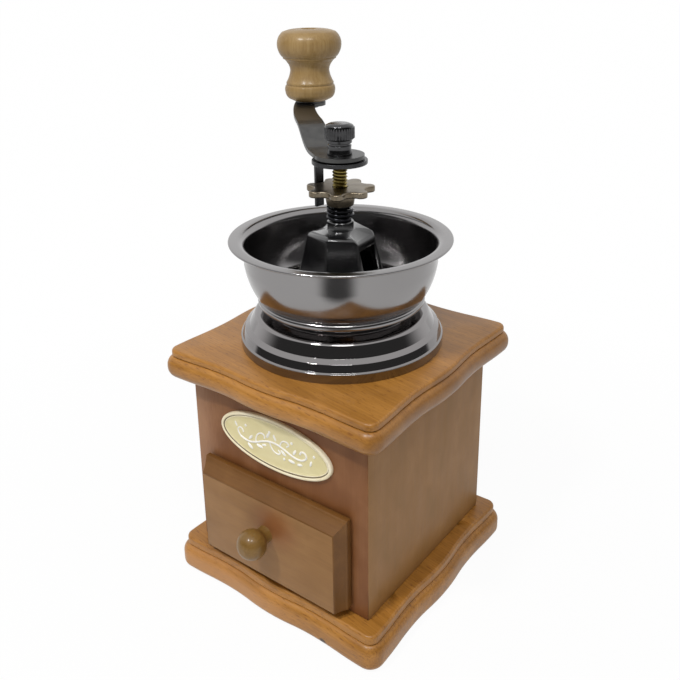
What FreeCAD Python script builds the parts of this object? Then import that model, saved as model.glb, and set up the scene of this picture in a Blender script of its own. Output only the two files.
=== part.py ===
import FreeCAD, Part
import math
import os
import re
import Sketcher

# A box-shaped coffee grinder with a hand crank, in millimetres.
# The origin is the centre of the underside, Z is the shaft, and the drawer opens towards -Y.

vec = FreeCAD.Vector
up = vec(0, 0, 1)
doc = FreeCAD.newDocument("coffee_grinder")
sheet = doc.addObject("Spreadsheet::Sheet", "Sizes")

driving_sizes = {
    # Base board and top board, alike in outline
    "board_half": 52.2,
    "board_corner": 6.2,
    "valley_along": 22.6,
    "valley_depth": 0.9,
    "crown_rise": 0.4,
    "base_lip_height": 11.7,
    "base_step_height": 3.5,
    "base_lower_round": 3.6,
    "top_lip_height": 9.9,
    "top_step_height": 2.6,
    "top_lower_round": 4.8,
    "upper_round": 4.4,
    "step_inset": 2.2,
    "step_round": 1.2,
    # Case of four panels
    "case_half": 43.2,
    "case_height": 77.3,
    "panel_thickness": 7.0,
    "dowel_radius": 2.0,
    "dowel_length": 20.0,
    "dowel_along": 25.0,
    "fixing_clearance": 0.05,
    "base_screw_along": 25.0,
    "base_screw_radius": 1.75,
    "base_screw_length": 28.0,
    "base_screw_head_radius": 3.6,
    "base_screw_head_height": 2.6,
    "base_screw_sink": 0.6,
    # Oval plate on the front
    "plate_half_width": 27.9,
    "plate_thickness": 0.8,
    "plate_border": 1.9,
    "plate_border_rise": 0.6,
    "plate_top_gap": 5.4,
    "plate_bottom_gap": 5.9,
    # Drawer
    "opening_stile": 9.6,
    "rail_height": 4.7,
    "opening_height": 37.1,
    "runner_width": 6.0,
    "drawer_clearance": 0.3,
    "drawer_wall": 5.0,
    "drawer_gap": 0.7,
    "drawer_box_height": 32.2,
    "drawer_floor_rise": 1.5,
    "drawer_floor_thickness": 3.0,
    "front_overlap": 2.5,
    "front_drop": 0.9,
    "front_height": 39.8,
    "front_slab": 2.6,
    "front_moulding": 4.9,
    "front_side_bevel": 2.8,
    "front_top_bevel": 4.7,
    "knob_rise": 20.9,
    "knob_ball": 6.0,
    "knob_depth": 13.2,
    "knob_tip_radius": 1.6,
    "knob_stem_radius": 3.4,
    "knob_stem_length": 2.4,
    "knob_screw_radius": 1.9,
    "knob_screw_reach": 7.0,
    "knob_screw_head_radius": 3.8,
    "knob_screw_head_height": 1.7,
    # Stepped collar of sheet metal on the top board
    "sheet_metal": 0.9,
    "collar_radius": 41.1,
    "collar_bead_height": 3.4,
    "collar_bead_round": 0.6,
    "collar_wall_radius": 39.6,
    "collar_wall_height": 5.9,
    "collar_shoulder_radius": 38.9,
    "collar_shoulder_height": 6.6,
    "collar_shoulder_round": 1.0,
    "collar_skirt_radius": 36.1,
    "collar_skirt_height": 7.9,
    "collar_riser_foot_radius": 35.6,
    "collar_riser_foot_height": 8.4,
    "collar_riser_round": 0.8,
    "collar_riser_radius": 34.4,
    "collar_riser_height": 11.1,
    "collar_ring_radius": 33.4,
    "collar_ring_height": 12.1,
    "collar_ring_round": 1.1,
    "collar_neck_radius": 28.5,
    "collar_height": 16.5,
    "throat_radius": 17.2,
    # Bean bowl
    "bowl_metal": 1.0,
    "bowl_foot_radius": 33.6,
    "bowl_foot_height": 2.5,
    "bowl_foot_round": 1.0,
    "bowl_radius": 38.45,
    "bowl_curve_height": 18.5,
    "bowl_curve_radius": 36.0,
    "bowl_height": 27.1,
    "rim_radius": 44.3,
    "rim_bend": 0.6,
    # Hub in the bowl
    "hub_foot_radius": 24.0,
    "hub_foot_height": 2.5,
    "hub_bottom_radius": 19.8,
    "hub_top_radius": 13.2,
    "hub_rise": 28.9,
    "hub_wall": 2.3,
    "hub_ceiling": 5.4,
    "inlet_angle": 5.5,
    "inlet_spread": 63.0,
    "wide_facet_spread": 68.0,
    "inlet_width": 11.6,
    "inlet_height": 20.5,
    "roof_fall": 2.9,
    "sleeve_radius": 5.2,
    "sleeve_rise": 3.5,
    "sleeve_drop": 18.0,
    "running_clearance": 0.05,
    "screw_circle": 21.6,
    "screw_turn": 47.0,
    "screw_radius": 1.75,
    "screw_hole_clearance": 0.35,
    "screw_head_radius": 3.2,
    "screw_head_height": 2.0,
    "screw_crown_radius": 1.2,
    "screw_grip": 8.0,
    # Spring
    "spring_radius": 4.8,
    "spring_wire": 1.3,
    "spring_turns": 2.75,
    "spring_length": 6.2,
    "spring_gap": 0.1,
    # Bearing bridge under the top board and the burrs
    "bridge_plate_radius": 32.0,
    "bridge_plate_thickness": 2.5,
    "bridge_ring_radius": 24.6,
    "bridge_ring_height": 11.3,
    "bridge_fit": 1.0,
    "burr_seat_depth": 2.5,
    "ledge_width": 3.0,
    "ledge_thickness": 2.5,
    "boss_radius": 6.5,
    "boss_height": 10.5,
    "bar_width": 6.0,
    "bar_height": 6.0,
    "outer_burr_radius": 19.0,
    "outer_burr_fit": 0.3,
    "outer_burr_top_gap": 0.2,
    "outer_burr_mouth": 17.0,
    "outer_burr_outlet": 15.8,
    "burr_gap": 0.8,
    "inner_burr_top_radius": 8.0,
    "inner_burr_height": 14.0,
    "inner_burr_band": 3.0,
    "tooth_radius": 1.6,
    "inner_tooth_bite": 1.0,
    "outer_tooth_bite": 0.9,
    "pin_radius": 1.25,
    "pin_length": 20.0,
    "pin_height": 7.0,
    # Shaft
    "shaft_radius": 3.5,
    "shaft_below": 1.0,
    "journal_rise": 4.0,
    "thread_radius": 2.97,
    "thread_shown": 9.2,
    "flats_width": 5.0,
    "stud_radius": 2.4,
    "stud_length": 8.4,
    # Adjusting nut
    "nut_plate_thickness": 2.5,
    "nut_edge_round": 0.6,
    "nut_radius": 13.65,
    "nut_lobes": 7.0,
    "nut_lobe_radius": 2.6,
    "nut_valley": 10.2,
    "nut_collar_radius": 5.8,
    "nut_collar_height": 4.8,
    "nut_cone_height": 3.0,
    "nut_tip_radius": 5.3,
    "nut_notch_angle": 172.0,
    # Lock plate, washer and crank arm
    "lock_radius": 10.8,
    "lock_thickness": 1.6,
    "finger_width": 4.2,
    "finger_thickness": 1.3,
    "finger_radius": 11.75,
    "finger_length": 19.3,
    "washer_radius": 8.2,
    "washer_thickness": 0.5,
    "arm_thickness": 1.5,
    "arm_hub_radius": 9.6,
    "arm_rise": 6.9,
    "arm_bend_start": 13.5,
    "arm_bend_end": 31.5,
    "arm_left_start": 9.7,
    "arm_left_end_along": 85.0,
    "arm_left_end": 6.9,
    "arm_left_curve": 247.0,
    "arm_right_end_along": 78.0,
    "arm_right_end": 1.2,
    "arm_right_curve": 240.0,
    "arm_neck_along": 20.0,
    "arm_neck_across": 0.3,
    "arm_neck_curve": 14.0,
    "arm_root_along": 6.0,
    "arm_root_across": 7.3,
    "arm_eye_radius": 7.15,
    "crank_radius": 83.0,
    "crank_angle": 136.4,
    # Thumb nut
    "thumb_bell_radius": 4.9,
    "thumb_bell_top_radius": 4.6,
    "thumb_bell_height": 3.6,
    "thumb_groove_radius": 4.1,
    "thumb_groove_height": 0.8,
    "thumb_step_height": 1.4,
    "thumb_band_radius": 5.9,
    "thumb_band_height": 5.2,
    "thumb_band_round": 0.5,
    "thumb_crown_radius": 3.9,
    "thumb_crown_round": 2.6,
    "thumb_crown_height": 0.9,
    "thumb_bore_margin": 0.5,
    # Crank knob, its washer and its axle
    "knob_washer_radius": 7.0,
    "knob_washer_thickness": 0.9,
    "grip_clearance": 0.1,
    "grip_bottom_radius": 8.6,
    "grip_bead_radius": 11.7,
    "grip_bead_height": 3.9,
    "grip_bead_curve": 3.6,
    "grip_neck_radius": 9.1,
    "grip_neck_height": 13.8,
    "grip_neck_curve": 60.0,
    "grip_shoulder_radius": 11.0,
    "grip_shoulder_height": 17.7,
    "grip_shoulder_curve": 5.0,
    "grip_bulb_radius": 15.0,
    "grip_bulb_height": 25.9,
    "grip_bulb_curve": 10.4,
    "grip_brow_radius": 12.4,
    "grip_brow_height": 31.3,
    "grip_brow_curve": 6.9,
    "grip_crown_radius": 4.4,
    "grip_crown_curve": 17.0,
    "grip_height": 32.6,
    "grip_recess_radius": 3.6,
    "grip_recess_depth": 3.0,
    "axle_radius": 2.5,
    "axle_head_radius": 3.3,
    "axle_head_height": 1.5,
    "rivet_radius": 4.2,
    "rivet_height": 1.1,
}

# Heights and places that follow from the driving sizes, worked out by the sheet itself
worked_places = {
    "base_top": "base_lip_height + base_step_height",
    "case_top": "base_top + case_height",
    "deck": "case_top + top_lip_height + top_step_height",
    "panel_inner": "case_half - panel_thickness",
    "panel_middle": "case_half - panel_thickness / 2",
    "dowel_bottom": "case_top - dowel_length / 2",
    "opening_half": "case_half - opening_stile",
    "opening_bottom": "base_top + rail_height",
    "opening_top": "opening_bottom + opening_height",
    "drawer_bottom_height": "opening_bottom + drawer_clearance",
    "drawer_half": "opening_half - 2 * drawer_clearance",
    "drawer_inner": "drawer_half - drawer_wall",
    "drawer_rear": "panel_inner - drawer_clearance",
    "drawer_front_back": "-case_half - drawer_gap",
    "drawer_depth": "drawer_rear - drawer_front_back",
    "drawer_floor": "drawer_bottom_height + drawer_floor_rise",
    "front_half": "opening_half + front_overlap",
    "front_bottom": "opening_bottom - front_drop",
    "front_top": "front_bottom + front_height",
    "plate_half_height": "(case_top - plate_top_gap - front_top - plate_bottom_gap) / 2",
    "plate_middle": "case_top - plate_top_gap - plate_half_height",
    "knob_height": "front_bottom + knob_rise",
    "front_depth": "front_slab + front_moulding",
    "knob_base": "drawer_front_back - front_depth",
    "collar_top": "deck + collar_height",
    "bowl_floor": "collar_top + bowl_metal",
    "rim_top": "collar_top + bowl_height",
    "hub_foot_top": "bowl_floor + hub_foot_height",
    "hub_top": "bowl_floor + hub_rise",
    "sleeve_top": "hub_top + sleeve_rise",
    "sleeve_bore": "shaft_radius + running_clearance",
    "nut_bottom": "sleeve_top + spring_length + 2 * spring_gap",
    "nut_plate_bottom": "nut_bottom + nut_collar_height",
    "nut_top": "nut_plate_bottom + nut_plate_thickness",
    "lock_bottom": "nut_top + thread_shown",
    "washer_bottom": "lock_bottom + lock_thickness",
    "arm_bottom": "washer_bottom + washer_thickness",
    "arm_top": "arm_bottom + arm_thickness",
    "eye_bottom": "arm_bottom + arm_rise",
    "eye_top": "eye_bottom + arm_thickness",
    "stud_top": "arm_top + stud_length",
    "grip_bottom": "eye_top + knob_washer_thickness + grip_clearance",
    "grip_top": "grip_bottom + grip_height",
    "grip_recess_floor": "grip_top - grip_recess_depth",
    "axle_head_bottom": "grip_recess_floor + grip_clearance",
    "bridge_bottom": "case_top - bridge_plate_thickness",
    "bridge_top": "case_top + bridge_ring_height",
    "board_hole": "bridge_ring_radius + bridge_fit",
    "burr_seat": "bridge_top - burr_seat_depth",
    "burr_ring_inner": "outer_burr_radius + outer_burr_fit",
    "outer_burr_top": "collar_top - sheet_metal - outer_burr_top_gap",
    "inner_burr_radius": "outer_burr_outlet - burr_gap",
    "inner_burr_bottom": "burr_seat",
    "inner_burr_top": "inner_burr_bottom + inner_burr_height",
    "shaft_bottom": "bridge_bottom - shaft_below",
    "pin_middle": "inner_burr_bottom + pin_height",
    "screw_hole": "screw_radius + screw_hole_clearance",
    "screw_bottom": "bridge_top - screw_grip",
    "sheet_lean": "0.9 * sheet_metal",
    "sheet_rise": "0.4 * sheet_metal",
    "journal_top": "sleeve_top + journal_rise",
    "bend_shift": "arm_thickness * tan(atan(arm_rise / (arm_bend_end - arm_bend_start)) / 2)",
    "crank_x": "crank_radius * cos(crank_angle * 1 deg)",
    "crank_y": "crank_radius * sin(crank_angle * 1 deg)",
    "inner_tooth_circle": "inner_burr_radius - inner_tooth_bite + tooth_radius",
    "outer_tooth_circle": "outer_burr_outlet + outer_tooth_bite - tooth_radius",
}


def fill_sheet():
    row = 0
    for table, lead in ((driving_sizes, ""), (worked_places, "=")):
        for name, content in table.items():
            row += 1
            sheet.set("A%d" % row, name)
            sheet.set("B%d" % row, lead + str(content))
            sheet.setAlias("B%d" % row, name)
    doc.recompute()
    return {name: float(sheet.get(name)) for name in list(driving_sizes) + list(worked_places)}


size = fill_sheet()
screw_count = 4
outer_burr_teeth = 24
inner_burr_teeth = 12


def bound(formula):
    # The formula with every size's name pointed at its cell
    return re.sub(r"[a-z][a-z_]*", lambda word: "Sizes." + word.group() if word.group() in size else word.group(),
                  formula)


def amount(formula):
    # The value of a plain sum of named sizes, each with a number in front of it or none
    total = 0.0
    for sign, times, word in re.findall(r"([+-]?)\s*(?:([0-9.]+)\s*\*\s*)?([a-z_]+|[0-9.]+)", formula):
        part = size[word] if word in size else float(word)
        part *= float(times) if times else 1.0
        total += -part if sign == "-" else part
    return total


def bind(thing, **formulas):
    for path, formula in formulas.items():
        thing.setExpression(path.replace("__", "."), bound(formula))


def place(thing, x="0", y="0", z="0"):
    bind(thing, Placement__Base__x=x, Placement__Base__y=y, Placement__Base__z=z)


def origin_plane(body, role):
    return next(item for item in body.Origin.OriginFeatures if item.Role == role)


def new_sketch(body, name, role):
    sketch = body.newObject("Sketcher::SketchObject", name)
    sketch.AttachmentSupport = (origin_plane(body, role), [""])
    sketch.MapMode = "FlatFace"
    return sketch


def pin_distance(sketch, kind, axis, geometry, end, formula):
    # Holds a point at a distance from the origin, or on the axis where that distance is none
    if abs(amount(formula)) < 1e-9:
        sketch.addConstraint(Sketcher.Constraint("PointOnObject", geometry, end, axis))
        return
    index = sketch.addConstraint(Sketcher.Constraint(kind, -1, 1, geometry, end, amount(formula)))
    sketch.setExpression("Constraints[%d]" % index, bound(formula))


def draw_outline(sketch, corners):
    # A corner is (across, height), or (across, height, radius, side) where an arc leads to it:
    # side is 1 for an arc that bulges to the left of the way there and -1 for one to the right
    spots = [vec(amount(corner[0]), amount(corner[1]), 0) for corner in corners]
    ends = []
    for index, start in enumerate(spots):
        following = (index + 1) % len(spots)
        finish = spots[following]
        if len(corners[following]) == 2:
            geometry = sketch.addGeometry(Part.LineSegment(start, finish))
        else:
            radius = amount(corners[following][2])
            chord = finish - start
            left = vec(-chord.y, chord.x, 0).normalize()
            rise = radius - math.sqrt(radius ** 2 - (chord.Length / 2) ** 2)
            middle = (start + finish) / 2 + left * rise * corners[following][3]
            geometry = sketch.addGeometry(Part.Arc(start, middle, finish))
            curve = sketch.addConstraint(Sketcher.Constraint("Radius", geometry, radius))
            sketch.setExpression("Constraints[%d]" % curve, bound(corners[following][2]))
        first = 1 if sketch.getPoint(geometry, 1).distanceToPoint(start) < 1e-6 else 2
        ends.append((geometry, first, 3 - first))
    for index, (geometry, first, last) in enumerate(ends):
        beyond, opening, _ = ends[(index + 1) % len(ends)]
        sketch.addConstraint(Sketcher.Constraint("Coincident", geometry, last, beyond, opening))
        pin_distance(sketch, "DistanceX", -2, geometry, first, corners[index][0])
        pin_distance(sketch, "DistanceY", -1, geometry, first, corners[index][1])


def turned(name, corners, x="0", y="0", z="0"):
    # A piece turned about the Z axis of its own body, from an outline of radius and height
    body = doc.addObject("PartDesign::Body", name)
    sketch = new_sketch(body, name + "_outline", "XZ_Plane")
    draw_outline(sketch, corners)
    turn = body.newObject("PartDesign::Revolution", name + "_turn")
    turn.Profile = sketch
    turn.ReferenceAxis = (sketch, ["V_Axis"])
    turn.Angle = 360
    place(body, x, y, z)
    return body


def circle_pattern(body, radius, distance, count):
    # Round holes right through, upwards from the body's XY plane, evenly round its axis
    name = body.Name
    sketch = new_sketch(body, name + "_hole_outline", "XY_Plane")
    ring = sketch.addGeometry(Part.Circle(vec(amount(distance), 0, 0), up, amount(radius)))
    sketch.addConstraint(Sketcher.Constraint("PointOnObject", ring, 3, -1))
    pin_distance(sketch, "DistanceX", -2, ring, 3, distance)
    wide = sketch.addConstraint(Sketcher.Constraint("Radius", ring, amount(radius)))
    sketch.setExpression("Constraints[%d]" % wide, bound(radius))
    spread(body, sketch, count)


def spread(body, sketch, count):
    name = body.Name
    hole = body.newObject("PartDesign::Pocket", name + "_hole")
    hole.Profile = sketch
    hole.Type = "ThroughAll"
    hole.Reversed = True
    pattern = body.newObject("PartDesign::PolarPattern", name + "_holes")
    pattern.Originals = [hole]
    pattern.Axis = (sketch, ["N_Axis"])
    pattern.Angle = 360
    pattern.Occurrences = count
    body.Tip = pattern


def block(name, length, width, height, x, y, z):
    # A rectangular block with its lowest corner at x, y, z
    box = doc.addObject("Part::Box", name)
    bind(box, Length=length, Width=width, Height=height)
    place(box, x, y, z)
    return box


def rod(name, radius, height, x="0", y="0", z="0"):
    cylinder = doc.addObject("Part::Cylinder", name)
    bind(cylinder, Radius=radius, Height=height)
    place(cylinder, x, y, z)
    return cylinder


def joined(name, pieces):
    fuse = doc.addObject("Part::MultiFuse", name)
    fuse.Shapes = pieces
    return fuse


def cut(name, blank, tools):
    result = doc.addObject("Part::Cut", name)
    result.Base = blank
    result.Tool = tools[0] if len(tools) == 1 else joined(name + "_tools", tools)
    return result


def shaped(name, shape):
    # A piece whose form neither sketches nor primitives give
    feature = doc.addObject("Part::Feature", name)
    feature.Shape = shape
    return feature


def group(name, pieces):
    compound = doc.addObject("Part::Compound", name)
    compound.Links = pieces
    return compound


# Boards: a serpentine outline of arcs, alike on all four sides
def easing(start, finish):
    # Two like arcs from start to finish, both along the side at their outer ends
    reach = (finish - start) / 2
    middle = start + reach
    lean = math.atan2(abs(reach.x), abs(reach.y))
    sag = reach.Length / 2 * math.tan(lean / 2)
    across = vec(-reach.y, reach.x, 0).normalize() * sag
    if reach.x > 0:
        across = -across
    first = Part.Arc(start, start + reach / 2 - across, middle)
    second = Part.Arc(middle, middle + reach / 2 + across, finish)
    return [first.toShape(), second.toShape()]


def board_outline(inset, height):
    half = size["board_half"] - inset
    corner = size["board_corner"] - inset
    straight = half - corner
    along = (-straight, -size["valley_along"], 0.0, size["valley_along"], straight)
    depth = (0.0, size["valley_depth"], -size["crown_rise"], size["valley_depth"], 0.0)
    spots = [vec(half - deep, place_along, height) for place_along, deep in zip(along, depth)]
    side = []
    for start, finish in zip(spots, spots[1:]):
        side += easing(start, finish)
    turn = corner * math.sqrt(0.5)
    side.append(Part.Arc(spots[-1], vec(straight + turn, straight + turn, height),
                         vec(straight, half, height)).toShape())
    edges = []
    for quarter in range(4):
        for edge in side:
            edges.append(edge.rotated(vec(), up, 90 * quarter))
    return Part.Wire(edges)


def rounded_slab(inset, bottom, thickness, round_top, round_bottom):
    slab = Part.Face(board_outline(inset, bottom)).extrude(vec(0, 0, thickness))
    for level, radius in ((bottom + thickness, round_top), (bottom, round_bottom)):
        if radius:
            rim = [edge for edge in slab.Edges
                   if all(abs(corner.Z - level) < 1e-6 for corner in edge.Vertexes) and len(edge.Vertexes) == 2]
            slab = slab.makeFillet(radius, rim)
    return slab


def board(kind, bottom):
    lip_height = size[kind + "_lip_height"]
    lip = rounded_slab(0, bottom, lip_height, size["upper_round"], size[kind + "_lower_round"])
    step = rounded_slab(size["step_inset"], bottom + lip_height / 2,
                        lip_height / 2 + size[kind + "_step_height"], size["step_round"], 0)
    return shaped(kind + "_blank", lip.fuse(step).removeSplitter())


def fixing_spots(along, across):
    # Four places, the last two of them on the front or the right
    return [(sign_along + along, sign_across + across) for sign_across in ("", "-") for sign_along in ("", "-")]


def base_screw(name, x, y):
    body = turned(name, [
        ("0", "base_screw_sink"),
        ("base_screw_head_radius", "base_screw_sink"),
        ("base_screw_radius", "base_screw_sink + base_screw_head_height"),
        ("base_screw_radius", "base_screw_sink + base_screw_length"),
        ("0", "base_screw_sink + base_screw_length"),
    ], x, y)
    return body


def base_screw_hole(name, x, y):
    return turned(name, [
        ("0", "0"),
        ("base_screw_head_radius + fixing_clearance", "0"),
        ("base_screw_head_radius + fixing_clearance", "base_screw_sink"),
        ("base_screw_radius + fixing_clearance", "base_screw_sink + base_screw_head_height"),
        ("base_screw_radius + fixing_clearance", "base_screw_sink + base_screw_length + fixing_clearance"),
        ("0", "base_screw_sink + base_screw_length + fixing_clearance"),
    ], x, y)


def dowel_tool(name, x, y, spare):
    return rod(name, "dowel_radius" + spare, "dowel_length", x, y, "dowel_bottom")


def make_boards():
    base = board("base", 0)
    top = board("top", size["case_top"])
    dowel_spots = fixing_spots("dowel_along", "panel_middle")
    screw_spots = [(x, y) for y, x in fixing_spots("base_screw_along", "panel_middle")]
    screws = [base_screw("base_screw_%d" % number, x, y) for number, (x, y) in enumerate(screw_spots)]
    dowels = [dowel_tool("dowel_%d" % number, x, y, "") for number, (x, y) in enumerate(dowel_spots)]
    screw_holes = [base_screw_hole("base_hole_%d" % number, x, y) for number, (x, y) in enumerate(screw_spots)]
    hollows = [dowel_tool("dowel_hole_%d" % number, x, y, " + fixing_clearance")
               for number, (x, y) in enumerate(dowel_spots)]
    case_hole = rod("case_hole", "board_hole", "deck", z="0")
    return {
        "base_board": cut("base_board", base, screw_holes),
        "top_board": cut("top_board", top, [case_hole] + hollows),
        "base_screws": group("base_screws", screws),
        "top_dowels": group("top_dowels", dowels),
        "back_panel": cut("back_panel", panel("back_blank", "panel_inner"), hollows[:2]),
        "front_panel": cut("front_panel", panel("front_blank", "-case_half"), [opening_tool()] + hollows[2:]),
        "right_panel": cut("right_panel", side_panel("right_blank", "panel_inner"), screw_holes[:2]),
        "left_panel": cut("left_panel", side_panel("left_blank", "-case_half"), screw_holes[2:]),
    }


def panel(name, y):
    return block(name, "2 * case_half", "panel_thickness", "case_height", "-case_half", y, "base_top")


def side_panel(name, x):
    return block(name, "panel_thickness", "2 * panel_inner", "case_height", x, "-panel_inner", "base_top")


def opening_tool():
    return block("drawer_opening", "2 * opening_half", "3 * panel_thickness", "opening_height",
                 "-opening_half", "-case_half - panel_thickness", "opening_bottom")


def make_runners():
    return {name: block(name, "runner_width", "2 * panel_inner", "rail_height", x, "-panel_inner", "base_top")
            for name, x in (("left_drawer_runner", "-panel_inner"),
                            ("right_drawer_runner", "panel_inner - runner_width"))}


def oval(name, shrink, thickness, y):
    ellipse = doc.addObject("Part::Ellipse", name + "_line")
    bind(ellipse, MajorRadius="plate_half_width" + shrink, MinorRadius="plate_half_height" + shrink)
    ellipse.Placement = FreeCAD.Placement(vec(), FreeCAD.Rotation(vec(1, 0, 0), 90))
    place(ellipse, y=y, z="plate_middle")
    solid = doc.addObject("Part::Extrusion", name)
    solid.Base = ellipse
    solid.DirMode = "Custom"
    solid.Dir = vec(0, -1, 0)
    bind(solid, LengthFwd=thickness)
    solid.Solid = True
    return solid


def make_name_plate():
    plate = oval("plate_field", "", "plate_thickness", "-case_half")
    border = cut("plate_edge", oval("plate_edge_blank", "", "plate_thickness + plate_border_rise", "-case_half"),
                 [oval("plate_edge_tool", " - plate_border", "3 * plate_thickness", "-case_half + plate_thickness")])
    return {"name_plate": joined("name_plate", [plate, border])}


# Drawer: a box behind a moulded front, with a turned knob
def rectangle(body, name, extent, forward):
    # A rectangle centred on the grinder, at a distance in front of its middle
    half, low, high = extent
    minus_half = "-" + half.replace(" - ", " + ")
    sketch = new_sketch(body, name, "XZ_Plane")
    bind(sketch, AttachmentOffset__Base__z=forward)
    draw_outline(sketch, [(minus_half, low), (half, low), (half, high), (minus_half, high)])
    return sketch


def make_drawer():
    front = doc.addObject("PartDesign::Body", "front_blank_body")
    rear_face = rectangle(front, "front_rear_face", ("front_half", "front_bottom", "front_top"),
                          "-drawer_front_back")
    slab = front.newObject("PartDesign::Pad", "front_slab_pad")
    slab.Profile = rear_face
    bind(slab, Length="front_slab")
    wide = rectangle(front, "front_wide_face", ("front_half", "front_bottom", "front_top"),
                     "front_slab - drawer_front_back")
    narrow = rectangle(front, "front_narrow_face",
                       ("front_half - front_side_bevel", "front_bottom", "front_top - front_top_bevel"),
                       "front_depth - drawer_front_back")
    moulding = front.newObject("PartDesign::AdditiveLoft", "front_moulded_edge")
    moulding.Profile = wide
    moulding.Sections = [narrow]
    moulding.Ruled = True
    screw_hole = outward_rod("knob_screw_hole", "knob_screw_radius + fixing_clearance", "2 * front_depth",
                             "drawer_front_back + front_depth / 2", "knob_height")
    nodes = {"drawer_front": cut("drawer_front", front, [screw_hole])}
    for name, x in (("drawer_left_side", "-drawer_half"), ("drawer_right_side", "drawer_inner")):
        nodes[name] = block(name, "drawer_wall", "drawer_depth", "drawer_box_height",
                            x, "drawer_front_back", "drawer_bottom_height")
    nodes["drawer_back"] = block("drawer_back", "2 * drawer_inner", "drawer_wall", "drawer_box_height",
                                 "-drawer_inner", "drawer_rear - drawer_wall", "drawer_bottom_height")
    nodes["drawer_bottom"] = block("drawer_bottom", "2 * drawer_inner", "drawer_depth - drawer_wall",
                                   "drawer_floor_thickness", "-drawer_inner", "drawer_front_back", "drawer_floor")
    hollow = "knob_screw_radius + fixing_clearance"
    nodes["drawer_knob"] = outward_turned("drawer_knob", [
        ("0", "knob_screw_reach + fixing_clearance"),
        (hollow, "knob_screw_reach + fixing_clearance"),
        (hollow, "0"),
        ("knob_stem_radius", "0"),
        ("knob_stem_radius", "knob_stem_length"),
        ("knob_tip_radius", "knob_depth", "knob_ball", -1),
        ("0", "knob_depth"),
    ], "knob_base")
    nodes["drawer_knob_screw"] = outward_turned("drawer_knob_screw", [
        ("0", "0"),
        ("knob_screw_head_radius", "0"),
        ("knob_screw_head_radius", "knob_screw_head_height"),
        ("knob_screw_radius", "knob_screw_head_height"),
        ("knob_screw_radius", "knob_screw_head_height + front_depth + knob_screw_reach"),
        ("0", "knob_screw_head_height + front_depth + knob_screw_reach"),
    ], "drawer_front_back + knob_screw_head_height")
    return nodes


def outward_rod(name, radius, length, y, z):
    cylinder = rod(name, radius, length)
    face_front(cylinder)
    place(cylinder, "0", y, z)
    return cylinder


def outward_turned(name, corners, y):
    body = turned(name, corners)
    face_front(body)
    place(body, "0", y, "knob_height")
    return body


def face_front(thing):
    # Turns the piece's own Z axis towards the front of the grinder
    thing.Placement = FreeCAD.Placement(thing.Placement.Base, FreeCAD.Rotation(vec(1, 0, 0), 90))


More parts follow.
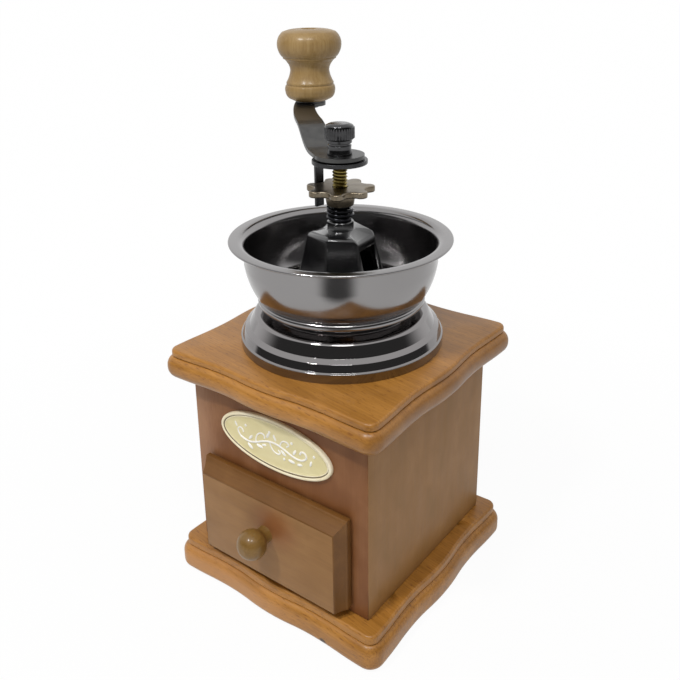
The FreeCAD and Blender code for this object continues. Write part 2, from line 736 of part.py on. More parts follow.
# Collar and bowl: pressed sheet, clamped by the housing screws
def make_collar_and_bowl():
    collar = turned("collar", [
        ("collar_radius - sheet_metal", "deck"),
        ("collar_radius", "deck"),
        ("collar_radius", "deck + collar_bead_height"),
        ("collar_radius - collar_bead_round", "deck + collar_bead_height + collar_bead_round",
         "collar_bead_round", -1),
        ("collar_wall_radius", "deck + collar_wall_height"),
        ("collar_shoulder_radius", "deck + collar_shoulder_height", "collar_shoulder_round", -1),
        ("collar_skirt_radius", "deck + collar_skirt_height"),
        ("collar_riser_foot_radius", "deck + collar_riser_foot_height", "collar_riser_round", 1),
        ("collar_riser_radius", "deck + collar_riser_height"),
        ("collar_ring_radius", "deck + collar_ring_height", "collar_ring_round", -1),
        ("collar_neck_radius", "deck + collar_ring_height"),
        ("collar_neck_radius", "collar_top"),
        ("throat_radius", "collar_top"),
        ("throat_radius", "collar_top - sheet_metal"),
        ("collar_neck_radius - sheet_metal", "collar_top - sheet_metal"),
        ("collar_neck_radius - sheet_metal", "deck + collar_ring_height - sheet_metal"),
        ("collar_ring_radius - sheet_rise", "deck + collar_ring_height - sheet_metal"),
        ("collar_riser_radius - sheet_lean", "deck + collar_riser_height - sheet_rise"),
        ("collar_riser_foot_radius - sheet_lean", "deck + collar_riser_foot_height - sheet_rise"),
        ("collar_skirt_radius - sheet_rise", "deck + collar_skirt_height - sheet_lean"),
        ("collar_shoulder_radius - sheet_rise", "deck + collar_shoulder_height - sheet_lean"),
        ("collar_wall_radius - sheet_lean", "deck + collar_wall_height - sheet_rise"),
        ("collar_radius - collar_bead_round - sheet_lean",
         "deck + collar_bead_height + collar_bead_round - sheet_rise"),
        ("collar_radius - sheet_metal", "deck + collar_bead_height - sheet_rise"),
    ])
    bowl = turned("hopper_bowl", [
        ("throat_radius", "collar_top"),
        ("bowl_foot_radius - bowl_foot_round", "collar_top"),
        ("bowl_foot_radius", "collar_top + bowl_foot_round", "bowl_foot_round", -1),
        ("bowl_foot_radius", "collar_top + bowl_foot_height"),
        ("bowl_radius", "collar_top + bowl_curve_height", "bowl_curve_radius", -1),
        ("bowl_radius", "rim_top - bowl_metal - rim_bend"),
        ("bowl_radius + rim_bend", "rim_top - bowl_metal", "rim_bend", 1),
        ("rim_radius", "rim_top - bowl_metal"),
        ("rim_radius", "rim_top"),
        ("bowl_radius + rim_bend", "rim_top"),
        ("bowl_radius - bowl_metal", "rim_top - bowl_metal - rim_bend", "bowl_metal + rim_bend", -1),
        ("bowl_radius - bowl_metal", "collar_top + bowl_curve_height"),
        ("bowl_foot_radius - bowl_metal", "collar_top + bowl_foot_height", "bowl_curve_radius - bowl_metal", 1),
        ("bowl_foot_radius - bowl_metal", "bowl_floor"),
        ("throat_radius", "bowl_floor"),
    ])
    for body in (collar, bowl):
        turn_to_screws(body)
        circle_pattern(body, "screw_hole", "screw_circle", screw_count)
    screws = []
    for number in range(screw_count):
        angle = "(screw_turn + %d) * 1 deg" % (number * 360 // screw_count)
        screws.append(turned("housing_screw_%d" % number, [
            ("0", "screw_bottom"),
            ("screw_radius", "screw_bottom"),
            ("screw_radius", "hub_foot_top"),
            ("screw_head_radius", "hub_foot_top"),
            ("screw_crown_radius", "hub_foot_top + screw_head_height", "screw_head_radius", -1),
            ("0", "hub_foot_top + screw_head_height"),
        ], "screw_circle * cos(%s)" % angle, "screw_circle * sin(%s)" % angle))
    return {"collar": collar, "hopper_bowl": bowl, "housing_screws": group("housing_screws", screws)}


def turn_to_screws(body):
    body.Placement = FreeCAD.Placement(vec(), FreeCAD.Rotation(up, size["screw_turn"]))


# Hub: a six-sided tapering cover with two bean inlets and the upper bearing
def hub_corners():
    half = size["inlet_spread"] / 2
    return [size["inlet_angle"] + corner + turn for turn in (0, 180)
            for corner in (-half, half, half + size["wide_facet_spread"])]


def hub_ring(radius, height):
    spots = [vec(radius * math.cos(math.radians(corner)), radius * math.sin(math.radians(corner)), height)
             for corner in hub_corners()]
    return Part.makePolygon(spots + spots[:1])


def hub_cone(bottom, bottom_radius, top, top_radius):
    return Part.makeLoft([hub_ring(bottom_radius, bottom), hub_ring(top_radius, top)], True, True)


def make_hub():
    floor = size["bowl_floor"]
    top = size["hub_top"]
    taper = (size["hub_bottom_radius"] - size["hub_top_radius"]) / size["hub_rise"]
    ceiling = top - size["hub_ceiling"]
    ceiling_radius = size["hub_top_radius"] + taper * size["hub_ceiling"] - size["hub_wall"]
    foot = Part.makeCylinder(size["hub_foot_radius"], size["hub_foot_height"], vec(0, 0, floor))
    cover = hub_cone(floor, size["hub_bottom_radius"], top, size["hub_top_radius"])
    cavity = hub_cone(floor, size["hub_bottom_radius"] - size["hub_wall"], ceiling, ceiling_radius)
    sleeve_bottom = top - size["sleeve_drop"]
    sleeve = Part.makeCylinder(size["sleeve_radius"], size["sleeve_top"] - sleeve_bottom, vec(0, 0, sleeve_bottom))
    hub = foot.fuse(cover).cut(cavity).fuse(sleeve)
    reach = 2 * size["hub_bottom_radius"]
    lip = size["hub_top_radius"] * math.cos(math.radians(size["inlet_spread"] / 2))
    fall = math.degrees(math.atan2(size["roof_fall"], lip - size["sleeve_radius"]))
    spread_half = math.tan(math.radians(size["inlet_spread"] / 2)) * reach
    sector = Part.Face(Part.makePolygon([vec(0, 0, ceiling), vec(reach, -spread_half, ceiling),
                                         vec(reach, spread_half, ceiling), vec(0, 0, ceiling)]))
    sector = sector.extrude(vec(0, 0, reach))
    above_roof = Part.makeBox(reach, 2 * reach, reach, vec(size["sleeve_radius"], -reach, top))
    above_roof.rotate(vec(size["sleeve_radius"], 0, top), vec(0, 1, 0), fall)
    roof_tool = above_roof.common(sector)
    inlet_tool = Part.makeBox(reach, size["inlet_width"], size["inlet_height"],
                              vec(size["sleeve_radius"], -size["inlet_width"] / 2, size["hub_foot_top"]))
    for turn in (0, 180):
        for tool in (roof_tool, inlet_tool):
            hub = hub.cut(tool.rotated(vec(), up, size["inlet_angle"] + turn))
    hub = hub.cut(Part.makeCylinder(size["sleeve_bore"], size["sleeve_top"], vec()))
    for number in range(screw_count):
        hole = Part.makeCylinder(size["screw_hole"], 2 * size["hub_foot_height"],
                                 vec(size["screw_circle"], 0, floor - size["hub_foot_height"] / 2))
        hub = hub.cut(hole.rotated(vec(), up, size["screw_turn"] + number * 360 / screw_count))
    return {"burr_hub": shaped("burr_hub", hub.removeSplitter())}


# Spring: one wire wound on the shaft, its path a chain of arcs that share their tangents
def arc_pair(start, finish, start_way, finish_way):
    # Two tangent arcs between two points with given directions
    chord = finish - start
    ways = start_way + finish_way
    square = 2 * (1 - start_way.dot(finish_way))
    linear = 2 * chord.dot(ways)
    reach = (-linear + math.sqrt(linear ** 2 + 4 * square * chord.dot(chord))) / (2 * square)
    joint = (start + start_way * reach + finish - finish_way * reach) / 2
    edges = []
    for near, far, corner in ((start, joint, start + start_way * reach),
                              (joint, finish, finish - finish_way * reach)):
        middle = (near + far) / 2
        lean = (corner - near).getAngle(far - near)
        bulge = (corner - middle) * (math.tan(lean / 2) / math.tan(lean))
        edges.append(Part.Arc(near, middle + bulge, far).toShape())
    return edges


def coil_point(turns):
    angle = 2 * math.pi * turns
    radius = size["spring_radius"]
    rise = (size["spring_length"] - size["spring_wire"]) / size["spring_turns"]
    bottom = size["sleeve_top"] + size["spring_gap"] + size["spring_wire"] / 2
    spot = vec(radius * math.cos(angle), radius * math.sin(angle), bottom + rise * turns)
    way = vec(-math.sin(angle), math.cos(angle), rise / (2 * math.pi * radius)).normalize()
    return spot, way


def least_gap(path_points, wire, apart):
    return min(first.distanceToPoint(second) for index, first in enumerate(path_points)
               for second in path_points[index + apart:]) - wire


def make_spring():
    spans = round(size["spring_turns"] * 4)
    edges = []
    for span in range(spans):
        start, start_way = coil_point(size["spring_turns"] * span / spans)
        finish, finish_way = coil_point(size["spring_turns"] * (span + 1) / spans)
        edges += arc_pair(start, finish, start_way, finish_way)
    path = Part.Wire(edges)
    start, way = coil_point(0)
    section = Part.Wire(Part.Circle(start, way, size["spring_wire"] / 2).toShape())
    sweep = Part.BRepOffsetAPI.MakePipeShell(path)
    sweep.add(section)
    sweep.build()
    sweep.makeSolid()
    samples = 24 * spans
    points = [coil_point(size["spring_turns"] * step / samples)[0] for step in range(samples + 1)]
    gap = least_gap(points, size["spring_wire"], round(samples / size["spring_turns"] / 2))
    print("coil spring: least gap to itself %.2f mm" % gap)
    return {"coil_spring": shaped("coil_spring", sweep.shape())}


# Bearing bridge and burrs
def make_burrs():
    ring = turned("bridge_ring", [
        ("burr_ring_inner", "bridge_bottom"),
        ("bridge_plate_radius", "bridge_bottom"),
        ("bridge_plate_radius", "case_top"),
        ("bridge_ring_radius", "case_top"),
        ("bridge_ring_radius", "bridge_top"),
        ("burr_ring_inner", "bridge_top"),
        ("burr_ring_inner", "burr_seat"),
        ("burr_ring_inner - ledge_width", "burr_seat"),
        ("burr_ring_inner - ledge_width", "burr_seat - ledge_thickness"),
        ("burr_ring_inner", "burr_seat - ledge_thickness"),
    ])
    turn_to_screws(ring)
    circle_pattern(ring, "screw_radius + fixing_clearance", "screw_circle", screw_count)
    boss = rod("bridge_boss", "boss_radius", "boss_height", z="bridge_bottom")
    bar = block("bridge_bar", "2 * burr_ring_inner + ledge_width", "bar_width", "bar_height",
                "-burr_ring_inner - ledge_width / 2", "-bar_width / 2", "bridge_bottom")
    journal_hole = rod("bridge_bore", "shaft_radius + running_clearance", "2 * boss_height",
                       z="bridge_bottom - boss_height / 2")
    bridge = cut("bearing_bridge", joined("bridge_casting", [ring, boss, bar]), [journal_hole])
    outer = turned("outer_burr", [
        ("outer_burr_outlet", "burr_seat"),
        ("outer_burr_radius", "burr_seat"),
        ("outer_burr_radius", "outer_burr_top"),
        ("outer_burr_mouth", "outer_burr_top"),
    ])
    circle_pattern(outer, "tooth_radius", "outer_tooth_circle", outer_burr_teeth)
    inner = turned("inner_burr_blank", [
        ("shaft_radius + running_clearance", "inner_burr_bottom"),
        ("inner_burr_radius", "inner_burr_bottom"),
        ("inner_burr_radius", "inner_burr_bottom + inner_burr_band"),
        ("inner_burr_top_radius", "inner_burr_top"),
        ("shaft_radius + running_clearance", "inner_burr_top"),
    ])
    circle_pattern(inner, "tooth_radius", "inner_tooth_circle", inner_burr_teeth)
    return {
        "bearing_bridge": bridge,
        "outer_burr": outer,
        "inner_burr": cut("inner_burr", inner, [cross_rod("burr_pin_hole", "pin_radius + fixing_clearance")]),
        "burr_pin": cross_rod("burr_pin", "pin_radius"),
    }


def cross_rod(name, radius):
    pin = rod(name, radius, "pin_length")
    pin.Placement = FreeCAD.Placement(vec(), FreeCAD.Rotation(vec(0, 1, 0), 90))
    place(pin, "-pin_length / 2", "0", "pin_middle")
    return pin


# Shaft: journal, thread, two flats for the lock plate and the crank arm, and a stud
def make_shaft():
    blank = turned("shaft_blank", [
        ("0", "shaft_bottom"),
        ("shaft_radius", "shaft_bottom"),
        ("shaft_radius", "journal_top"),
        ("thread_radius", "journal_top"),
        ("thread_radius", "arm_top"),
        ("stud_radius", "arm_top"),
        ("stud_radius", "stud_top"),
        ("0", "stud_top"),
    ])
    sides = []
    for name, y in (("flat_front", "-flats_width / 2 - thread_radius"), ("flat_back", "flats_width / 2")):
        sides.append(block(name, "4 * thread_radius", "thread_radius", "arm_top - lock_bottom",
                           "-2 * thread_radius", y, "lock_bottom"))
    pin_hole = cross_rod("shaft_pin_hole", "pin_radius + fixing_clearance")
    return {"shaft": cut("shaft", blank, sides + [pin_hole])}


def flat_bore(name, bottom, height):
    # A round bore with two flats, which fits the shaft's flats
    bore = doc.addObject("Part::MultiCommon", name)
    bore.Shapes = [
        rod(name + "_round", "thread_radius + fixing_clearance", height, z=bottom),
        block(name + "_slot", "4 * thread_radius", "flats_width + 2 * fixing_clearance", height,
              "-2 * thread_radius", "-flats_width / 2 - fixing_clearance", bottom),
    ]
    return bore


# Adjusting nut: a lobed plate on a collar
def make_nut():
    collar = turned("nut_collar", [
        ("thread_radius + running_clearance", "nut_bottom"),
        ("nut_tip_radius", "nut_bottom"),
        ("nut_collar_radius", "nut_bottom + nut_cone_height"),
        ("nut_collar_radius", "nut_plate_bottom"),
        ("thread_radius + running_clearance", "nut_plate_bottom"),
    ])
    lobe = size["nut_lobe_radius"]
    lobe_circle = size["nut_radius"] - lobe
    valley = size["nut_valley"]
    step = math.pi / round(size["nut_lobes"])
    lobe_reach = lobe_circle * math.cos(step)
    hollow = (lobe_circle ** 2 + valley ** 2 - 2 * valley * lobe_reach - lobe ** 2) / (2 * (lobe + lobe_reach - valley))
    hollow_circle = valley + hollow
    height = size["nut_plate_bottom"]

    def polar(radius, angle):
        return vec(radius * math.cos(angle), radius * math.sin(angle), height)

    edges = []
    notch = math.radians(size["nut_notch_angle"])
    for number in range(round(size["nut_lobes"])):
        before = notch + 2 * step * number
        lobe_centre = polar(lobe_circle, before + step)
        share = lobe / (lobe + hollow)
        touch_in = lobe_centre + (polar(hollow_circle, before) - lobe_centre) * share
        touch_out = lobe_centre + (polar(hollow_circle, before + 2 * step) - lobe_centre) * share
        next_touch = touch_in - polar(0, 0)
        following = FreeCAD.Rotation(up, math.degrees(2 * step)).multVec(next_touch) + polar(0, 0)
        edges.append(Part.Arc(touch_in, polar(size["nut_radius"], before + step), touch_out).toShape())
        edges.append(Part.Arc(touch_out, polar(valley, before + 2 * step), following).toShape())
    plate = Part.Face(Part.Wire(edges)).extrude(vec(0, 0, size["nut_plate_thickness"]))
    rims = [edge for edge in plate.Edges if abs(edge.BoundBox.ZLength) < 1e-6]
    plate = plate.makeFillet(size["nut_edge_round"], rims)
    plate = plate.cut(Part.makeCylinder(size["thread_radius"] + size["running_clearance"], size["nut_top"]))
    return {"adjusting_nut": joined("adjusting_nut", [collar, shaped("nut_plate", plate)])}


# Handle: lock plate, washer, crank arm, thumb nut and the grip on its axle
def make_lock_plate():
    disc = rod("lock_disc", "lock_radius", "lock_thickness", z="lock_bottom")
    tab = block("lock_tab", "finger_radius + finger_thickness / 2 - lock_radius / 2", "finger_width",
                "lock_thickness", "lock_radius / 2", "-finger_width / 2", "lock_bottom")
    finger = block("lock_finger", "finger_thickness", "finger_width", "finger_length + lock_thickness",
                   "finger_radius - finger_thickness / 2", "-finger_width / 2", "lock_bottom - finger_length")
    blank = joined("lock_blank", [disc, tab, finger])
    blank.Placement = FreeCAD.Placement(vec(), FreeCAD.Rotation(up, size["nut_notch_angle"]))
    return {
        "lock_plate": cut("lock_plate", blank, [flat_bore("lock_bore", "lock_bottom", "lock_thickness")]),
        "crank_washer": cut("crank_washer", rod("washer_blank", "washer_radius", "washer_thickness",
                                                z="washer_bottom"),
                            [rod("washer_bore", "thread_radius + fixing_clearance", "2 * washer_thickness",
                                 z="washer_bottom - washer_thickness / 2")]),
    }


def plane_extrusion(name, corners, turn, direction, forward, backward):
    sketch = doc.addObject("Sketcher::SketchObject", name + "_outline")
    sketch.Placement = FreeCAD.Placement(vec(), turn)
    draw_outline(sketch, corners)
    solid = doc.addObject("Part::Extrusion", name)
    solid.Base = sketch
    solid.DirMode = "Custom"
    solid.Dir = direction
    bind(solid, LengthFwd=forward, LengthRev=backward)
    solid.Solid = True
    return solid


def make_arm():
    side = plane_extrusion("arm_side", [
        ("-arm_hub_radius", "arm_bottom"),
        ("arm_bend_start", "arm_bottom"),
        ("arm_bend_end", "eye_bottom"),
        ("crank_radius + arm_eye_radius", "eye_bottom"),
        ("crank_radius + arm_eye_radius", "eye_top"),
        ("arm_bend_end - bend_shift", "eye_top"),
        ("arm_bend_start - bend_shift", "arm_top"),
        ("-arm_hub_radius", "arm_top"),
    ], FreeCAD.Rotation(vec(1, 0, 0), 90), vec(0, -1, 0), "2 * arm_hub_radius", "2 * arm_hub_radius")
    strap = plane_extrusion("arm_strap", [
        ("0", "arm_left_start"),
        ("arm_left_end_along", "arm_left_end", "arm_left_curve", 1),
        ("arm_right_end_along", "-arm_right_end"),
        ("arm_neck_along", "arm_neck_across", "arm_right_curve", -1),
        ("arm_root_along", "-arm_root_across", "arm_neck_curve", -1),
        ("0", "0"),
    ], FreeCAD.Rotation(), up, "eye_top", "0")
    hub_disc = rod("arm_hub_disc", "arm_hub_radius", "eye_top")
    eye_disc = rod("arm_eye_disc", "arm_eye_radius", "eye_top", x="crank_radius")
    blank = doc.addObject("Part::MultiCommon", "arm_blank")
    blank.Shapes = [side, joined("arm_plan", [strap, hub_disc, eye_disc])]
    blank.Placement = FreeCAD.Placement(vec(), FreeCAD.Rotation(up, size["crank_angle"]))
    eye_hole = rod("arm_eye_hole", "axle_radius + fixing_clearance", "2 * arm_thickness",
                   "crank_x", "crank_y", "eye_bottom - arm_thickness / 2")
    return {"crank_arm": cut("crank_arm", blank, [flat_bore("arm_bore", "arm_bottom", "arm_thickness"), eye_hole])}


def make_thumb_nut():
    bore = "stud_radius + running_clearance"
    roof = "stud_top + thumb_bore_margin"
    groove = "arm_top + thumb_bell_height"
    step = groove + " + thumb_groove_height"
    band = step + " + thumb_step_height"
    crown = band + " + thumb_band_height"
    return {"thumb_nut": turned("thumb_nut", [
        ("0", roof),
        (bore, roof),
        (bore, "arm_top"),
        ("thumb_bell_radius", "arm_top"),
        ("thumb_bell_top_radius", groove),
        ("thumb_groove_radius", groove),
        ("thumb_groove_radius", step),
        ("thumb_bell_radius", step),
        ("thumb_bell_radius", band),
        ("thumb_band_radius - thumb_band_round", band),
        ("thumb_band_radius", band + " + thumb_band_round"),
        ("thumb_band_radius", crown),
        ("thumb_crown_radius", crown + " + thumb_crown_height", "thumb_crown_round", -1),
        ("0", crown + " + thumb_crown_height"),
    ])}


def make_grip():
    bore = "axle_radius + grip_clearance"
    grip = turned("crank_grip", [
        (bore, "grip_bottom"),
        ("grip_bottom_radius", "grip_bottom"),
        ("grip_bead_radius", "grip_bottom + grip_bead_height", "grip_bead_curve", -1),
        ("grip_neck_radius", "grip_bottom + grip_neck_height", "grip_neck_curve", 1),
        ("grip_shoulder_radius", "grip_bottom + grip_shoulder_height", "grip_shoulder_curve", 1),
        ("grip_bulb_radius", "grip_bottom + grip_bulb_height", "grip_bulb_curve", -1),
        ("grip_brow_radius", "grip_bottom + grip_brow_height", "grip_brow_curve", -1),
        ("grip_crown_radius", "grip_top", "grip_crown_curve", -1),
        ("grip_recess_radius", "grip_top"),
        ("grip_recess_radius", "grip_recess_floor"),
        (bore, "grip_recess_floor"),
    ], "crank_x", "crank_y")
    axle = turned("grip_axle", [
        ("0", "eye_bottom - rivet_height"),
        ("rivet_radius", "eye_bottom - rivet_height"),
        ("rivet_radius", "eye_bottom"),
        ("axle_radius", "eye_bottom"),
        ("axle_radius", "axle_head_bottom"),
        ("axle_head_radius", "axle_head_bottom"),
        ("axle_head_radius", "axle_head_bottom + axle_head_height"),
        ("0", "axle_head_bottom + axle_head_height"),
    ], "crank_x", "crank_y")
    washer = turned("grip_washer", [
        ("axle_radius + fixing_clearance", "eye_top"),
        ("knob_washer_radius", "eye_top"),
        ("knob_washer_radius", "eye_top + knob_washer_thickness"),
        ("axle_radius + fixing_clearance", "eye_top + knob_washer_thickness"),
    ], "crank_x", "crank_y")
    return {"crank_grip": grip, "grip_axle": axle, "grip_washer": washer}


nodes = {}
for make in (make_boards, make_runners, make_name_plate, make_drawer, make_collar_and_bowl, make_hub, make_spring,
             make_burrs, make_shaft, make_nut, make_lock_plate, make_arm, make_thumb_nut, make_grip):
    nodes.update(make())
doc.recompute()

faults = [item.Name for item in doc.Objects if "Invalid" in item.State or "Error" in item.State]
for name, item in nodes.items():
    item.Label = name
    if item.Shape.isNull() or not item.Shape.isValid() or not item.Shape.Solids:
        faults.append(name)
if faults:
    raise RuntimeError("failed objects: " + ", ".join(faults))
os.makedirs("parts", exist_ok=True)
for name, item in nodes.items():
    item.Shape.exportStep("parts/%s.step" % name)
    box = item.Shape.BoundBox
    print("%-20s solids %d volume %9.1f x %6.1f %6.1f y %6.1f %6.1f z %6.1f %6.1f" % (
        name, len(item.Shape.Solids), item.Shape.Volume, box.XMin, box.XMax, box.YMin, box.YMax, box.ZMin, box.ZMax))
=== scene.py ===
from math import acos, atan2, copysign, cos, degrees, hypot, pi, radians, sin, sqrt, tan
import bmesh
import bpy
from mathutils import Matrix, Vector


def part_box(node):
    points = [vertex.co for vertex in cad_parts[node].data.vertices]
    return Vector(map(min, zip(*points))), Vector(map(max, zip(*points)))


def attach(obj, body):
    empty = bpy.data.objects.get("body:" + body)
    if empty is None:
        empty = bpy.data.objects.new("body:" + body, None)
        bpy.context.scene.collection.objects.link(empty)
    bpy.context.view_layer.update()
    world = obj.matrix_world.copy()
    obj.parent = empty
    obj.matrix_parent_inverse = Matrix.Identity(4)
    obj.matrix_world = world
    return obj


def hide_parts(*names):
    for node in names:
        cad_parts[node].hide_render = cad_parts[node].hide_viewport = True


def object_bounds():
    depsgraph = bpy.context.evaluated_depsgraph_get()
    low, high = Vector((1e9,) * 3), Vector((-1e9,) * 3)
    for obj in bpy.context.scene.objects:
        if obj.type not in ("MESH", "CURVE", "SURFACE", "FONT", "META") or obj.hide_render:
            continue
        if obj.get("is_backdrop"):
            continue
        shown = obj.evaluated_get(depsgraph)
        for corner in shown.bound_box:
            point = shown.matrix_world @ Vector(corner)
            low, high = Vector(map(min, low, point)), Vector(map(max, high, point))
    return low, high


# Box-shaped hand coffee grinder: stained beech case, black nickel bowl, cranked handle.
# Sizes in the dictionaries are in millimetres and turn to metres where a mesh is made.
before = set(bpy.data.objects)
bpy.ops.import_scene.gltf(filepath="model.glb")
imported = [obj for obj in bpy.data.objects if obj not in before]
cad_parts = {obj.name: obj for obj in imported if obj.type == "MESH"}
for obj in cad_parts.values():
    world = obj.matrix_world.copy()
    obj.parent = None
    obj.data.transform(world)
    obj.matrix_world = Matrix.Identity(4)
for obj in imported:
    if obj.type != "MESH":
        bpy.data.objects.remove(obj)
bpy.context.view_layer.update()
scene = bpy.context.scene
mm = 0.001
print("frame loaded")


# small helpers used all over the script
def linear(hexText):  # sRGB hex to the linear values that shaders take
    parts = [int(hexText[i:i + 2], 16) / 255 for i in (1, 3, 5)]
    return [p / 12.92 if p <= 0.04045 else ((p + 0.055) / 1.055) ** 2.4 for p in parts] + [1.0]


def addNode(tree, kind, inputs=(), stops=(), **settings):
    # One node and its settings. kind leaves out the ShaderNode or GeometryNode at its front. inputs go by socket
    # name, or as a list in the sockets' order (MapRange: value, from low, from high, to low, to high); each is a
    # value, a socket, or a node whose first live output is meant
    kind = next(k for k in ("ShaderNode" + kind, "GeometryNode" + kind, kind) if hasattr(bpy.types, k))
    node = tree.nodes.new(kind)
    for name, value in settings.items():
        setattr(node, name, value)
    for socket, value in inputs.items() if isinstance(inputs, dict) else enumerate(inputs):
        if isinstance(value, bpy.types.Node):
            value = next(out for out in value.outputs if out.enabled)
        if isinstance(value, bpy.types.NodeSocket):
            tree.links.new(value, node.inputs[socket])
        else:
            node.inputs[socket].default_value = value
    for number, (place, colour) in enumerate(stops):  # the stops of a colour ramp
        bar = node.color_ramp.elements
        stop = bar[number] if number < len(bar) else bar.new(place)
        stop.position, stop.color = place, colour
    return node


def newFinish(name):  # an empty material, its tree and its Object coordinates
    material = bpy.data.materials.new(name)
    material.use_nodes = True
    tree = material.node_tree
    tree.nodes.clear()
    return material, tree, addNode(tree, "TexCoord").outputs["Object"]


def closeFinish(material, tree, values):  # the Principled shader that a finish ends in
    addNode(tree, "OutputMaterial", {"Surface": addNode(tree, "BsdfPrincipled", values)})
    return material


def noisesOn(tree, coords, layers):  # layers: name: (size in millimetres, one or along X, Y and Z; detail)
    made = {}
    for label, (size, detail) in layers.items():
        sizes = size if isinstance(size, tuple) else (size,) * 3
        sized = addNode(tree, "Mapping", {"Vector": coords, "Scale": [1 / (s * mm) for s in sizes]})
        made[label] = addNode(tree, "TexNoise", {"Vector": sized, "Scale": 1.0, "Detail": detail,
                                                 "Roughness": 0.55, "Distortion": 0.3})
    return made


# finishes: stained and lacquered beech
beechLayers = {"figure": ((60, 9, 9), 2), "fibre": ((24, 0.8, 0.8), 3), "cloud": ((15, 11, 11), 2),
               "rays": ((3.2, 0.5, 0.5), 1)}  # the ray flecks are drawn a little coarse, to show at all
satin = {"coat": 0.12, "coatRoughness": 0.25, "roughness": 0.5, "shine": 0.22, "flecks": 0.3, "relief": 0.2,
         "grain": (0, 0, 0), "shares": (0.3, 0.25, 0.45)}


def beech(name, tones, fleckTone, shift, **own):
    # Beech, stained and rubbed under thin satin lacquer: a quiet brown that clouds where the stain sank in,
    # with hair-fine grain and short dark ray flecks. tones go dark to light; shift moves the grain; own may
    # change the shares of figure, fibre and cloud in the tone and the grain's turn off X, and may add marks
    # (centre, radii, colour, strength, softness): knots, dark spots and joints, and patches of painted light and shade
    look = {**satin, **own}
    material, tree, place = newFinish(name)
    turned = addNode(tree, "Mapping", {"Vector": place, "Rotation": [radians(a) for a in look["grain"]],
                                       "Location": [v * mm for v in shift]})
    noise = noisesOn(tree, turned, beechLayers)
    tone = 0.0
    for label, share in zip(("figure", "fibre", "cloud"), look["shares"]):
        tone = addNode(tree, "Math", [noise[label], share, tone], operation="MULTIPLY_ADD")
    colour = addNode(tree, "ValToRGB", {"Fac": tone}, zip((0.34, 0.5, 0.66), map(linear, tones)))
    fleck = addNode(tree, "MapRange", [noise["rays"], 0.6, 0.74, 0.0, look["flecks"]])
    colour = addNode(tree, "Mix", {0: fleck, 6: colour, 7: linear(fleckTone)}, data_type="RGBA")
    for centre, radii, markTone, strength, soft in look.get("marks", []):
        away = addNode(tree, "VectorMath", [place, [v * mm for v in centre]], operation="SUBTRACT")
        away = addNode(tree, "VectorMath", [away, [v * mm for v in radii]], operation="DIVIDE")
        away = addNode(tree, "VectorMath", [away], operation="LENGTH")
        ragged = addNode(tree, "Math", [noise["rays"], 0.5, away], operation="MULTIPLY_ADD")
        inMark = addNode(tree, "MapRange", [ragged, 1.25 - soft, 1.25 + soft, strength, 0.0],
                         interpolation_type="SMOOTHSTEP")
        colour = addNode(tree, "Mix", {0: inMark, 6: colour, 7: linear(markTone)}, data_type="RGBA")
    gloss = addNode(tree, "MapRange", [noise["fibre"], 0.3, 0.7, look["roughness"] - 0.05, look["roughness"] + 0.06])
    relief = addNode(tree, "Math", [noise["fibre"], 0.5, fleck], operation="MULTIPLY_ADD")
    bump = addNode(tree, "Bump", {"Height": relief, "Strength": look["relief"], "Distance": 0.04 * mm})
    return closeFinish(material, tree, {
        "Base Color": colour, "Roughness": gloss, "Normal": bump, "IOR": 1.5, "Specular IOR Level": look["shine"],
        "Coat Weight": look["coat"], "Coat Roughness": look["coatRoughness"]})


boardBeech = beech("stainedBeechBoards", ("#875819", "#A06C29", "#B67F38"), "#63340F", (11, 3, 40),
                   grain=(0, 0, 8), flecks=0.6, shares=(0.4, 0.4, 0.2), coat=0.5, coatRoughness=0.3,
                   marks=[((27.5, -50.3, 2.9), (1.9, 1.9, 1.1), "#2A1A10", 0.95, 0.3),
                          # painted shade: the top board's right lip drawn darker
                          ((52.5, 0.0, 97.0), (3.0, 75.0, 8.0), "#6E4A28", 0.5, 0.6),
                          # painted highlight: the base board's front lip drawn lighter over its left half
                          ((-30.0, -53.0, 6.0), (36.0, 5.0, 9.0), "#C68D54", 0.55, 0.6)])
# the front panel's copy of the case beech, darker and redder than the sides' copy: painted shade under the overhang and
# painted warm reflection of the drawer
frontShadedBeech = beech("stainedBeechFrontShaded", ("#70431F", "#7A4D2A", "#855936"), "#6B4226", (31, 7, 5),
                   grain=(0, 90, 0), flecks=0.12, shares=(0.2, 0.2, 0.6),
                   # painted light: the left end of the front panel drawn lighter
                   marks=[((-45.0, -43.2, 70.0), (10.0, 6.0, 40.0), "#A87F60", 0.7, 0.9)])
sideBeech = beech("stainedBeechSides", ("#886231", "#92693A", "#9C7344"), "#6A4C2E", (-14, 60, 21),
                  grain=(0, 90, 0), flecks=0.15,
                  marks=[((43.2, -43.4, 15.0), (0.55, 0.55, 18.0), "#3A2412", 0.85, 0.35)])
drawerBeech = beech("stainedBeechDrawer", ("#805B31", "#8C653A", "#976F43"), "#73502F", (5, -8, 77), flecks=0.15,
                    # painted shadow: a red-brown patch up and to the right of the knob; the second mark is a dark knot
                    marks=[((5.0, -51.4, 45.5), (8.0, 3.0, 6.5), "#85492A", 0.55, 1.0),
                           ((36.0, -45.2, 22.8), (1.3, 1.3, 1.4), "#4A2A14", 0.9, 0.4)])
mouldBeech = beech("stainedBeechMoulding", ("#5F3E18", "#6B461E", "#765026"), "#553716", (9, -2, 31), flecks=0.15)
knobBeech = beech("oliveStainedBeech", ("#6A4D20", "#7B5C2C", "#8C6B38"), "#4F3A16", (3, 3, 3),
                  grain=(0, 0, 90), coat=0.35, coatRoughness=0.16, roughness=0.42)
